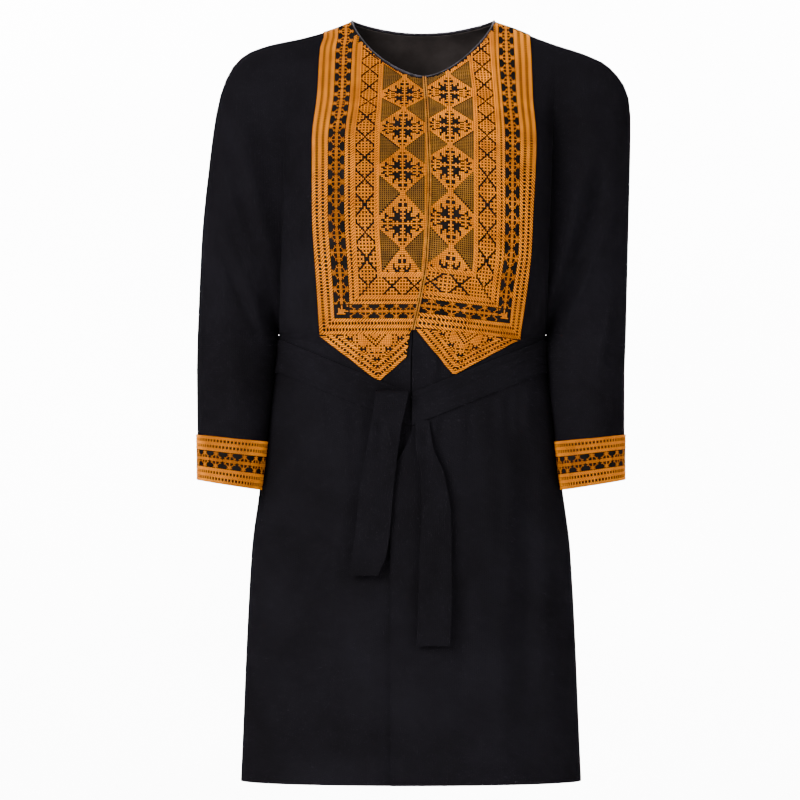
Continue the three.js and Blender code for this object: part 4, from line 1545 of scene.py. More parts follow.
@dataclass(frozen=True)
class Finish:
    """What all textile finishes share: two colours mixed by a grain, and a bump."""

    name: str
    dark: str
    light: str
    tone: Grain
    relief: Grain
    relief_mm: float
    roughness: float
    specular: float = 0.3
    sheen: float = 0.0
    sheen_colour: str = "#ffffff"
    sheen_roughness: float = 0.5
    thread_mm: float = 0.0
    weave_share: float = 0.3
    wave_scale: float = 0.314  # a wave texture's scale for bands one metre apart

    def material(self) -> Material:
        """Makes the material.

        Returns:
            The material.
        """
        made = bpy.data.materials.new(self.name)
        made.use_nodes = True
        tree = made.node_tree
        tree.nodes.clear()
        space = add_node(tree, "TexCoord").outputs["Object"]
        tone = self.tone.place(tree, space)
        ramp = add_node(tree, "ValToRGB", {"Fac": tone})
        for stop, at, colour in zip(ramp.color_ramp.elements, (0.32, 0.68), (self.dark, self.light)):
            stop.position = at
            stop.color = linear(colour)
        height = self.height(tree, space)
        bump = add_node(tree, "Bump", {"Height": height, "Strength": 1.0, "Distance": self.relief_mm * MM})
        skin = add_node(tree, "BsdfPrincipled", {
            "Base Color": ramp.outputs["Color"],
            "Normal": bump.outputs["Normal"],
            "Roughness": self.roughness,
            "Specular IOR Level": self.specular,
            "Sheen Weight": self.sheen,
            "Sheen Roughness": self.sheen_roughness,
            "Sheen Tint": linear(self.sheen_colour),
        })
        add_node(tree, "OutputMaterial", {"Surface": skin.outputs["BSDF"]})
        return made

    def height(self, tree: Tree, space: Socket) -> Socket:
        """The relief: the grain, and a weave over the cloth's own flat where there is one.

        Args:
            tree: The material's nodes.
            space: The object's own space.

        Returns:
            The height.
        """
        grain = self.relief.place(tree, space)
        if not self.thread_mm:
            return grain
        cloth = add_node(tree, "UVMap", uv_map="cloth").outputs["UV"]
        weave = {
            "Vector": cloth,
            "Scale": self.wave_scale / (self.thread_mm * MM),
            "Distortion": 1.5,
            "Detail": 1.0,
            "Detail Scale": 1.5,
        }
        total = grain
        for direction in ("X", "Y"):
            wave = add_node(tree, "TexWave", weave, bands_direction=direction)
            parts = {0: wave.outputs["Fac"], 1: self.weave_share, 2: total}
            total = add_node(tree, "Math", parts, operation="MULTIPLY_ADD").outputs["Value"]
        return total


# Crepe of hard-twisted black yarn: a pebbled grain that spreads a faint cool gloss over each fold.
# Its 0.5 mm grain is drawn at 1.9 mm and its threads at 2.2 mm, or neither would show
CREPE = Finish(
    "crepe_woven_black", "#0b0a0c", "#0f0e11", Grain(90, 3), Grain(1.9, 3), 0.3, 0.7,
    0.0, 0.004, "#b9b4c4", 0.45, thread_mm=2.2,
)
# The same crepe pulled tight in the knot, its weave lost among the folds
CREPE_KNOT = replace(CREPE, name="crepe_gathered_black", tone=Grain(30, 3), thread_mm=0.0)
# The same crepe in the facing's single layer, coloured paler and a little browner than the coat
FACING = Finish(
    "crepe_facing_black", "#262221", "#322d2c", Grain(40, 3), Grain(1.9, 3), 0.3, 0.7,
    0.0, 0.01, "#b9b4c4", 0.5,
)
# Cotton satin under the embroidery: flat, and browner than the crepe next to so much orange
GROUND = Finish("cotton_satin_ground", "#0b0a09", "#141110", Grain(22, 2), Grain(1.6, 2), 0.2, 0.75, 0.0)
# Mercerised cotton floss laid in satin stitch: silky, and uneven in tone from skein to skein
FLOSS = Finish(
    "cotton_floss_orange", "#a65b00", "#cc7600", Grain(26, 4), Grain(0.9, 2), 0.18, 0.6,
    0.04, 0.0, "#ffe2b0", 0.4,
)
# A single strand of the same floss, so thin that the ground darkens it
STRAND = Finish("cotton_floss_strand", "#5c3c10", "#7a5016", Grain(14, 3), Grain(0.9, 2), 0.1, 0.6, 0.04)
# Two-ply rayon cord: darker and browner than the floss; the darkening is painted shade, standing for the
# shade that its plies cast on each other
CORD = Finish(
    "rayon_cord_twisted", "#6e3f12", "#96601f", Grain(9, 2), Grain(0.8, 2), 0.15, 0.6,
    0.04, 0.0, "#ffe6c8", 0.4,
)
# Bias strip of satin: paler than the coat in streaks along it
BIAS = Finish(
    "satin_bias_pale_streaks", "#161417", "#38343a", Grain(7, 3), Grain(1.3, 2), 0.25, 0.6,
    0.04, 0.0, "#e8e4ea", 0.4,
)
# Matt emulsion paint on the floor: even, with a faint roller stipple
PAINT = Finish("emulsion_paint_rolled", "#f1f1f1", "#f7f7f7", Grain(700, 2), Grain(6, 2), 0.1, 0.9, 0.2)


# ---------------------------------------------------------------- studio


@dataclass
class Studio:
    """The floor, the lights and the camera."""

    floor_drop: float = 1500
    floor_size: float = 60000
    camera_away: float = 8200
    centre_x: float = -27.3
    centre_drop: float = 448.7
    seen_width: float = 949.6
    sensor: float = 36
    key_power: float = 450
    fill_power: float = 105
    top_power: float = 160
    backdrop_power: float = 3500
    sky_strength: float = 0.9
    floor_near: float = -24000
    curve_away: float = 7000
    curve_radius: float = 2000
    wall_height: float = 22000

    def build(self) -> None:
        """Makes the floor, the lights and the camera."""
        self.floor()
        self.lights()
        self.camera()
        LOG.info("studio: floor, lights and camera")

    def floor(self) -> None:
        """A wide pale floor that stands for the backdrop too: it curves up far behind the coat."""
        half, low = self.floor_size / 2, -self.floor_drop
        turn = np.linspace(0, math.pi / 2, 25)
        radius, away = self.curve_radius, self.curve_away
        profile = [(self.floor_near, low), (away, low)]
        profile += [(away + radius * math.sin(t), low + radius * (1 - math.cos(t))) for t in turn[1:]]
        profile.append((away + radius, low + self.wall_height))
        points = np.array([(x, y, z) for y, z in profile for x in (-half, half)])
        quads = np.array([(2 * i, 2 * i + 1, 2 * i + 3, 2 * i + 2) for i in range(len(profile) - 1)])
        mesh = bpy.data.meshes.new("floor")
        mesh.from_pydata((points * MM).tolist(), [], quads.tolist())
        mesh.materials.append(PAINT.material())
        mesh.shade_smooth()
        floor = bpy.data.objects.new("floor", mesh)
        bpy.context.scene.collection.objects.link(floor)

    def lights(self) -> None:
        """A large soft key from the viewer's left, a weaker fill from the right and one above."""
        self.area("key", (-2.6, -3.4, 1.2), (0, 0, -0.4), 2.2, self.key_power)
        self.area("fill", (3.2, -3.2, 0.2), (0, 0, -0.45), 2.6, self.fill_power)
        self.area("top", (0.3, 0.9, 2.8), (0, 0, -0.3), 1.8, self.top_power)
        for sign in (-1, 1):
            at, to = (sign * 4, 3.5, 1.5), (sign * 0.5, 9, 0.5)
            self.area(f"backdrop_{sign + 1}", at, to, 3.5, self.backdrop_power)
        world = bpy.data.worlds.new("studio")
        world.use_nodes = True
        sky = world.node_tree.nodes["Background"]
        sky.inputs["Color"].default_value = linear("#ffffff")
        sky.inputs["Strength"].default_value = self.sky_strength
        bpy.context.scene.world = world

    def area(self, name: str, at: Sequence[float], to: Sequence[float], size: float, power: float) -> None:
        """Adds a square soft light.

        Args:
            name: Its name.
            at: Where it stands, in metres.
            to: Where it points.
            size: Its width, in metres.
            power: Its watts.
        """
        lamp = bpy.data.lights.new(name, "AREA")
        lamp.size = size
        lamp.energy = power
        made = bpy.data.objects.new(name, lamp)
        made.location = at
        made.visible_camera = False
        made.rotation_euler = (Vector(to) - Vector(at)).to_track_quat("-Z", "Y").to_euler()
        bpy.context.scene.collection.objects.link(made)

    def camera(self) -> None:
        """A long lens, square on to the coat from far away."""
        lens = bpy.data.cameras.new("camera")
        lens.sensor_width = self.sensor
        lens.lens = self.sensor * self.camera_away / self.seen_width
        lens.clip_start = 0.1
        lens.clip_end = 200
        made = bpy.data.objects.new("camera", lens)
        made.location = (self.centre_x * MM, -self.camera_away * MM, -self.centre_drop * MM)
        made.rotation_euler = (math.pi / 2, 0, 0)
        bpy.context.scene.collection.objects.link(made)
        bpy.context.scene.camera = made


# ---------------------------------------------------------------- helpers for the sewn-on pieces


@dataclass(frozen=True)
class Finishes:
    """The materials, each made once."""

    crepe: Material = field(default_factory=CREPE.material)
    crepe_plain: Material = field(default_factory=CREPE_KNOT.material)
    facing: Material = field(default_factory=FACING.material)
    ground: Material = field(default_factory=GROUND.material)
    floss: Material = field(default_factory=FLOSS.material)
    strand: Material = field(default_factory=STRAND.material)
    cord: Material = field(default_factory=CORD.material)
    bias: Material = field(default_factory=BIAS.material)


def grid_normals(points: Array, outwards: Array) -> Array:
    """Unit normals of a grid of points, given a rough outward direction for all or for each."""
    normal = unit(np.cross(np.gradient(points, axis=0), np.gradient(points, axis=1)))
    return np.where((normal * outwards).sum(axis=-1, keepdims=True) < 0, -normal, normal)


def facing_of(sheet: Sheet, normals: Array) -> float:
    """Above zero where a sheet's quads face the way that its points' normals do."""
    return (quad_normals(sheet.points, sheet.quads) * normals[sheet.quads[:, 0]]).sum()


def grid_wall(points: Array, normals: Array, inner: Array, outer: Array) -> Solid:
    """Closes a grid into a wall between two distances along its normals.

    Args:
        points: The grid.
        normals: Its normals.
        inner: How far out the inside lies.
        outer: How far out the outside lies, for all points or as a grid.

    Returns:
        The wall.
    """
    sheet = grid_sheet(points)
    flat_normals = normals.reshape(-1, 3)
    if facing_of(sheet, flat_normals) < 0:
        sheet = Sheet(sheet.points, sheet.quads[:, ::-1], sheet.flat[:, ::-1])
    near, far = (np.broadcast_to(np.asarray(d, float), points.shape[:2]).ravel() for d in (inner, outer))
    return shell(sheet, flat_normals, near, far)


def grid_area(points: Array) -> float:
    """A grid's area in square metres."""
    sheet = grid_sheet(points)
    return area_of(sheet.points, sheet.quads)


def ring_quads(index: Array) -> Array:
    """The quads between rings of points, from the points' numbers ring by ring."""
    after = np.roll(index, -1, axis=1)
    return np.stack([index[:-1], after[:-1], after[1:], index[1:]], axis=-1).reshape(-1, 4)


def tubes(paths: Sequence[Array], ups: Array, radius: Array, sides: int = 8) -> Solid:
    """Closed tubes along paths.

    Args:
        paths: The middle lines, each n by three.
        ups: Where the first side of each ring points, n by three.
        radius: The radius, for all or for each ring.
        sides: How many sides each tube has.

    Returns:
        All of the tubes as one solid.
    """
    points, faces, start = [], [], 0
    turn = np.linspace(0, 2 * math.pi, sides, endpoint=False)
    for path in paths:
        count = len(path)
        along = unit(np.gradient(path, axis=0))
        side = unit(np.cross(along, ups))
        over = np.cross(side, along)
        reach = np.broadcast_to(np.asarray(radius, float), (count,))[:, None, None]
        ring = np.cos(turn)[None, :, None] * over[:, None] + np.sin(turn)[None, :, None] * side[:, None]
        points.append((path[:, None] + ring * reach).reshape(-1, 3))
        index = start + np.arange(count * sides).reshape(count, sides)
        faces += ring_quads(index).tolist() + [index[0, ::-1].tolist(), index[-1].tolist()]
        start += count * sides
    return Solid(np.concatenate(points), faces)


def run_along(path: Array) -> Array:
    """How far along a path each of its points lies."""
    return np.concatenate([[0], np.cumsum(np.linalg.norm(np.diff(path, axis=0), axis=1))])


def resampled(path: Array, step: float) -> Array:
    """Points at an even step along a path."""
    lengths = run_along(path)
    where = np.linspace(0, lengths[-1], max(int(lengths[-1] / step), 2) + 1)
    return np.stack([np.interp(where, lengths, path[:, i]) for i in range(path.shape[1])], axis=1)


def wavering(where: Array, seed: int, waves: int = 7, longest: float = 60) -> Array:
    """A repeatable uneven line, about -1 to 1, as hand work leaves.

    Args:
        where: Places along it, in millimetres.
        seed: Which line.
        waves: How many waves it is made of.
        longest: The longest wave.

    Returns:
        Its height at each place.
    """
    draw = np.random.default_rng(seed)
    total = np.zeros(np.shape(where))
    for i in range(waves):
        length = longest / (1.7 ** i) * draw.uniform(0.8, 1.2)
        total = total + np.sin(2 * math.pi * (np.asarray(where) / length + draw.uniform())) / (1 + 0.6 * i)
    return total / 2.2


# ---------------------------------------------------------------- plastrons


@dataclass
class Plastron:
    """One front's embroidered plastron: its ground, its floss and its open mesh."""

    surface: CoatSurface
    side: Side
    finishes: Finishes
    ground_from: float = 0.4
    ground_to: float = 1.15
    stitch_from: float = 1.1
    stitch_rise: float = 0.85
    margin: float = 0.7
    neck_gap: float = 1.9
    trim_centre: float = 1.0
    trim_cut: float = 0.8
    trim_top: float = 0.8
    least_width: float = 0.45
    rim_gap: float = 0.2
    columns: int = 96
    rows: int = 200
    flat_width: float = 0.14
    flat_length: float = 0.45

    def __post_init__(self) -> None:
        """Finds the plastron's edges."""
        self.layout = LAYOUTS[self.side]
        self.outer_x = self.layout.lines[0]
        angle = np.linspace(0, NECK_CORNER, 160)[:, None] * DEG
        rim = self.surface.body(self.side, Face.FRONT, angle, np.array([0.0]))[:, 0]
        self.rim = resampled(rim, 0.8)

    def centre_x(self, drop: Array) -> Array:
        """Where the front's centre edge stands."""
        return self.surface.lean(drop) + self.surface.centre_bow(drop) + self.side.value * FRONT_GAP

    def edge_x(self, drop: Array) -> Array:
        """Where the plastron's outer edge stands."""
        return self.outer_x(drop) + self.side.value * self.margin

    def top(self, x: Array, drop: Array) -> Array:
        """Drop of the shoulder or neckline at a place across."""
        half = (x - self.surface.lean(drop)) * self.side.value
        return self.surface.top_drop(self.side, Face.FRONT, np.clip(half, 0, None))

    def bottom(self) -> tuple[Array, Array]:
        """The lower outline.

        Returns:
            Shares of the way from the centre to the outer edge, and the drops there.
        """
        layout = self.layout
        corners = [layout.point_inner, layout.point_tip, layout.point_outer]
        if layout.point_cut:
            corners[:1] = [layout.point_cut[1], layout.point_cut[0]]
        x, drop = np.array(corners).T
        start, end = self.centre_x(drop), self.edge_x(drop)
        return np.clip((x - start) / (end - start), 0, 1), drop + self.margin

    def ground(self) -> Array:
        """Where the ground lies.

        Returns:
            Its grid of points, from the centre edge outwards and from the top down.
        """
        shares, drops = self.bottom()
        across = np.unique(np.concatenate([np.linspace(0, 1, self.columns), shares]))[:, None]
        low = np.interp(across, shares, drops)
        high = np.full_like(across, 20.0)
        for _ in range(30):
            x = mix(self.centre_x(high), self.edge_x(high), across)
            high = mix(high, self.top(x, high), 0.6)
        drop = mix(high + self.rim_gap, low, np.linspace(0, 1, self.rows)[None])
        x = mix(self.centre_x(drop), self.edge_x(drop), across)
        return self.surface.front_point(self.side, x, drop)

    def trimmed(self, corners: Array, ridges: Array, tall: Array) -> tuple[Array, Array, Array]:
        """Trims stitches at the plastron's centre edge and drops those past its top.

        Args:
            corners: Corners as (x, drop).
            ridges: Ridge ends as (x, drop).
            tall: Their heights, as shares.

        Returns:
            The same for the stitches that stay.
        """
        sign = self.side.value
        parts = []
        for places in (corners, ridges):
            x, drop = places[..., 0], places[..., 1]
            limit = self.centre_x(drop) + sign * self.trim_centre
            if self.layout.point_cut:
                (low_x, low_drop), (high_x, high_drop) = self.layout.point_cut
                cut = mix(low_x, high_x, (drop - low_drop) / (high_drop - low_drop)) + sign * self.trim_cut
                farther = np.maximum(sign * limit, sign * cut) * sign
                limit = np.where(drop > min(low_drop, high_drop), farther, limit)
            parts.append(np.stack([np.maximum(sign * x, sign * limit) * sign, drop], axis=-1))
        seen, seen_ridges = parts
        x, drop = seen[..., 0], seen[..., 1]
        wide = np.ptp(x, axis=1) > self.least_width * np.ptp(corners[..., 0], axis=1)
        below = (drop > self.top(x, drop) + self.trim_top).all(axis=1)
        rim = np.stack([self.rim[::4, 0], -self.rim[::4, 2]], axis=1)
        gap = np.sqrt(((seen.mean(axis=1)[:, None] - rim[None]) ** 2).sum(axis=-1)).min(axis=1)
        keep = wide & below & (gap > self.neck_gap)
        return seen[keep], seen_ridges[keep], tall[keep]

    def placed(self, stitches: Stitches, seen: Callable[[Array], Array]) -> Solid:
        """Raises flat stitches where they are seen, trimmed to the plastron."""
        corners, ridges, tall = stitches.gathered()
        return self.solid(*self.trimmed(seen(corners), seen(ridges), tall))

    def solid(self, corners: Array, ridges: Array, tall: Array) -> Solid:
        """Raises stitches from their seen places.

        Args:
            corners: Corners as (x, drop).
            ridges: Ridge ends as (x, drop).
            tall: Their heights, as shares.

        Returns:
            The solid.
        """
        places = np.concatenate([wound(corners, 1), ridges], axis=1)
        points = self.surface.front_point(self.side, places[..., 0], places[..., 1])
        normals = self.surface.front_normal(self.side, places[..., 0], places[..., 1])
        return stitch_solid(points[:, :4], points[:, 4:], tall, self.stitch_from, self.stitch_rise, normals)

    def build(self) -> Object:
        """Makes the ground and the stitches.

        Returns:
            The ground.
        """
        name = self.side.name.lower()
        points = self.ground()
        normals = self.surface.front_normal(self.side, points[..., 0], -points[..., 2])
        ground = make_object(
            f"plastron_ground_{name}", grid_wall(points, normals, self.ground_from, self.ground_to),
            self.finishes.ground,
        )
        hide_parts(f"plastron_{name}")
        full, threads = BorderPattern().build()
        point = PointPattern().build()
        groups = ((full, self.layout.seen), (point, self.layout.seen_point))
        solids = [self.placed(stitches, seen) for stitches, seen in groups]
        whole, net = merged(solids), self.placed(threads, self.layout.seen)
        thread, strand = self.finishes.floss, self.finishes.strand
        floss = make_object(f"plastron_floss_{name}", whole, thread, STITCH_CREASE)
        mesh = make_object(f"plastron_mesh_{name}", net, strand, STITCH_CREASE)
        min(grid_area(points), 0.999 * self.flat_width * self.flat_length)
        LOG.info("plastron %s: %d full stitches", name, sum(len(s.faces) for s in solids) // 5)
        return ground


def merged(solids: Sequence[Solid]) -> Solid:
    """Several solids of four-cornered faces as one."""
    starts = np.cumsum([0] + [len(s.points) for s in solids[:-1]])
    faces = [np.asarray(s.faces) + start for s, start in zip(solids, starts)]
    return Solid(np.concatenate([s.points for s in solids]), np.concatenate(faces))


CORD_CREASE = 80  # degrees above which a cord's or a binding's edge stays sharp


@dataclass
class EdgePiping:
    """The twisted cord along one front's centre edge."""

    surface: CoatSurface
    side: Side
    finishes: Finishes
    off: float = 2.7
    aside: float = 0.75
    ply_radius: float = 0.55
    ply_off: float = 0.42
    lay: float = 5.5
    start_gap: float = 0.6
    end_drop: float = 366

    def build(self) -> None:
        """Lays two plies round each other from the neck to the cord's end."""
        name = self.side.name.lower()
        surface = self.surface
        start = float(surface.top_drop(self.side, Face.FRONT, np.array(0.0))) + self.start_gap
        drop = np.arange(start, self.end_drop, 0.7)
        x = surface.lean(drop) + surface.centre_bow(drop) + self.side.value * (self.aside + FRONT_GAP)
        normal = surface.front_normal(self.side, x, drop)
        path = surface.front_point(self.side, x, drop) + normal * self.off
        aside = unit(np.cross(unit(np.gradient(path, axis=0)), normal))
        turn = 2 * math.pi * (drop - start) / self.lay + 0.35 * wavering(drop, 5 + self.side.value)
        plies = [
            path + self.ply_off * (np.cos(turn + p)[:, None] * normal + np.sin(turn + p)[:, None] * aside)
            for p in (0, math.pi)
        ]
        twist = tubes(plies, normal, self.ply_radius, 7)
        cord = make_object(f"edge_cord_{name}", twist, self.finishes.cord, CORD_CREASE)
        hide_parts(f"edge_piping_{name}")
        LOG.info("edge cord %s: %d rings", name, 2 * len(drop))


# ---------------------------------------------------------------- neck


@dataclass
class Neck:
    """The bound edge round the neckline, and the back facing that shows inside it."""

    surface: CoatSurface
    finishes: Finishes
    count: int = 120
    step: float = 0.9
    pucker: float = 5.2
    radius: float = 1.45
    off: float = 1.35
    facing_from: float = -3.0
    facing_to: float = -2.0
    facing_share: float = 0.206

    def rim(self) -> tuple[Array, Array]:
        """The neckline from the right front round the back to the left front.

        Returns:
            The line, and the directions in which the binding lies off it.
        """
        angle = np.linspace(0, NECK_CORNER, self.count)
        lines, outs = [], []
        for side, face, angles in (
            (Side.RIGHT, Face.FRONT, angle), (Side.RIGHT, Face.BACK, angle[::-1]),
            (Side.LEFT, Face.BACK, angle), (Side.LEFT, Face.FRONT, angle[::-1]),
        ):
            both = self.surface.body(side, face, angles[:, None] * DEG, np.array([0.0, 0.012]))
            lines.append(both[:, 0])
            outs.append(-unit(both[:, 1] - both[:, 0]))
        line, out = np.concatenate(lines), np.concatenate(outs)
        line[:self.count, 0] -= FRONT_GAP
        line[-self.count:, 0] += FRONT_GAP
        joined = np.concatenate([line, out], axis=1)
        apart = np.concatenate([[True], np.linalg.norm(np.diff(line, axis=0), axis=1) > 0.05])
        even = resampled(joined[apart], self.step)
        out = even[:, 3:]
        for _ in range(6):
            out[1:-1] = (out[:-2] + 2 * out[1:-1] + out[2:]) / 4
        return even[:, :3], unit(out)

    def build(self) -> None:
        """Makes the facing and the binding."""
        binding = self.binding()
        facing, points = self.facing()
        min(grid_area(points), 0.999 * 0.21 * 0.11)

    def binding(self) -> Object:
        """Makes the bias strip folded over the edge, a little puckered by its stitches.

        Returns:
            The strip.
        """
        line, out = self.rim()
        path = line + out * self.off
        length = np.arange(len(path)) * self.step
        puckered = 0.06 * np.cos(2 * math.pi * length / self.pucker)
        radius = self.radius * (0.94 + puckered + 0.05 * wavering(length, 3))
        strip = tubes([path], out, radius, 10)
        made = make_object("neck_bias", strip, self.finishes.bias, CORD_CREASE)
        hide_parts("neck_binding")
        LOG.info("neck binding: %d rings", len(path))
        return made

    def facing(self) -> tuple[Object, Array]:
        """Makes the facing, its lower edge wavy where it hangs free.

        Returns:
            The facing, and the grid that it follows.
        """
        angle = np.linspace(0, NECK_CORNER, 50)
        halves = []
        for side in Side:
            wave = 0.94 + 0.05 * wavering(angle * 3 * side.value, 8, 4, 50)
            share = np.linspace(0.004, 1, 40)[None] ** 1.3 * self.facing_share * wave[:, None]
            halves.append(self.surface.body(side, Face.BACK, angle[:, None] * DEG, share))
        points = np.concatenate([halves[0][::-1], halves[1][1:]])
        normals = grid_normals(points, np.array([0, 1.0, 0]))
        solid = grid_wall(points, normals, self.facing_from, self.facing_to)
        made = make_object("back_facing", solid, self.finishes.facing)
        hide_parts("back_neck_facing")
        LOG.info("back facing: %d quads", len(solid.faces))
        return made, points


# ---------------------------------------------------------------- cuffs


@dataclass
class Cuff:
    """One embroidered cuff, sewn round the sleeve's end."""

    surface: CoatSurface
    side: Side
    finishes: Finishes
    start: float = 0.685
    height: float = 55.8
    ground_from: float = 0.4
    ground_to: float = 1.15
    stitch_from: float = 1.1
    stitch_rise: float = 0.85
    lead: float = 60
    stripe: float = 3.9
    dotted: float = 3.1
    satin_pitch: float = 2.4
    stripes: float = 18.0
    cross: float = 19.8
    cross_pitch: float = 16.8

    def __post_init__(self) -> None:
        """Measures round the sleeve at the cuff's middle."""
        along = np.linspace(0, 1, 200)
        middle = (1 + self.start) / 2
        front, back = (self.surface.sleeve(self.side, face, np.array([middle]), along) for face in Face)
        ring = np.concatenate([front, back[-2::-1]])
        self.where = np.concatenate([along, 2 - along[-2::-1]])
        self.length = run_along(ring)
        self.round = float(self.length[-1])

    def points(self, around: Array, down: Array) -> Array:
        """Points of the sleeve under the cuff.

        Args:
            around: Distances round it from the outer edge, over the front first.
            down: Distances down from the cuff's upper edge.

        Returns:
            The points.
        """
        around, down = np.broadcast_arrays(around, down)
        turn = np.interp(np.mod(around, self.round), self.length, self.where)
        share = mix(self.start, 1, down / self.height)
        front = self.surface.sleeve(self.side, Face.FRONT, share, np.clip(turn, 0, 1))
        back = self.surface.sleeve(self.side, Face.BACK, share, np.clip(2 - turn, 0, 1))
        return np.where((turn <= 1)[..., None], front, back)

    def normals(self, around: Array, down: Array) -> Array:
        """Normals there, by small steps round and down.

        Args:
            around: Distances round the sleeve.
            down: Distances down from the cuff's upper edge.

        Returns:
            The normals, of length 1.
        """
        step = 0.6
        across = self.points(around + step, down) - self.points(around - step, down)
        below = self.points(around, down + step) - self.points(around, down - step)
        return unit(np.cross(below, across)) * self.side.value * -1

    def pattern(self) -> Stitches:
        """The stripes and the crosses.

        Returns:
            The stitches, at flat places (around + lead, down).
        """
        out = Stitches()
        end = self.lead + self.round
        border = BorderPattern(width=end, satin_pitch=self.satin_pitch)
        one, gap = self.stripe, self.dotted
        for base in (0.0, self.stripes + self.cross):
            for row in range(3):
                low = base + row * (one + gap)
                border.satin(out, True, low, low + one)
                if row < 2:
                    border.ticks(out, True, low + one, low + one + gap)
        repeats = max(round(self.round / self.cross_pitch), 1)
        pitch = self.round / repeats
        cells = CROSS.mirrored_down()
        border.chart(out, cells, True, self.lead, pitch, self.stripes, self.stripes + self.cross)
        return out

    def build(self) -> None:
        """Makes the ground and the stitches."""
        name = self.side.name.lower()
        around = np.linspace(0, self.round, 121)[:, None]
        down = np.linspace(0, self.height, 34)[None]
        points, normals = self.points(around, down), self.normals(around, down)
        sheet = grid_sheet(points)
        spread = normals.reshape(-1, 3)
        closed = welded(sheet, facing_of(sheet, spread))
        _, first = np.unique(point_keys(sheet.points), axis=0, return_index=True)
        solid = shell(closed, spread[first], self.ground_from, self.ground_to)
        ground = make_object(f"cuff_ground_{name}", solid, self.finishes.ground)
        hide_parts(f"cuff_band_{name}")
        corners, ridges, tall = self.pattern().gathered()
        corners, ridges = corners - [self.lead, 0], ridges - [self.lead, 0]
        middle = corners.mean(axis=1)
        keep = (middle[:, 0] >= 0) & (middle[:, 0] < self.round)
        corners, ridges, tall = corners[keep], ridges[keep], tall[keep]
        corners[..., 1] = np.clip(corners[..., 1], 0.4, self.height - 0.4)
        places = np.concatenate([wound(corners, -self.side.value), ridges], axis=1)
        around, down = places[..., 0], places[..., 1]
        lifted, up = self.points(around, down), self.normals(around, down)
        stitched = stitch_solid(lifted[:, :4], lifted[:, 4:], tall, self.stitch_from, self.stitch_rise, up)
        thread = self.finishes.floss
        floss = make_object(f"cuff_floss_{name}", stitched, thread, STITCH_CREASE)
        width, height = self.round * MM, 0.058
        min(grid_area(points), 0.999 * width * height)
        LOG.info("cuff %s: %d stitches, %.0f mm round", name, len(corners), self.round)


# ---------------------------------------------------------------- belt


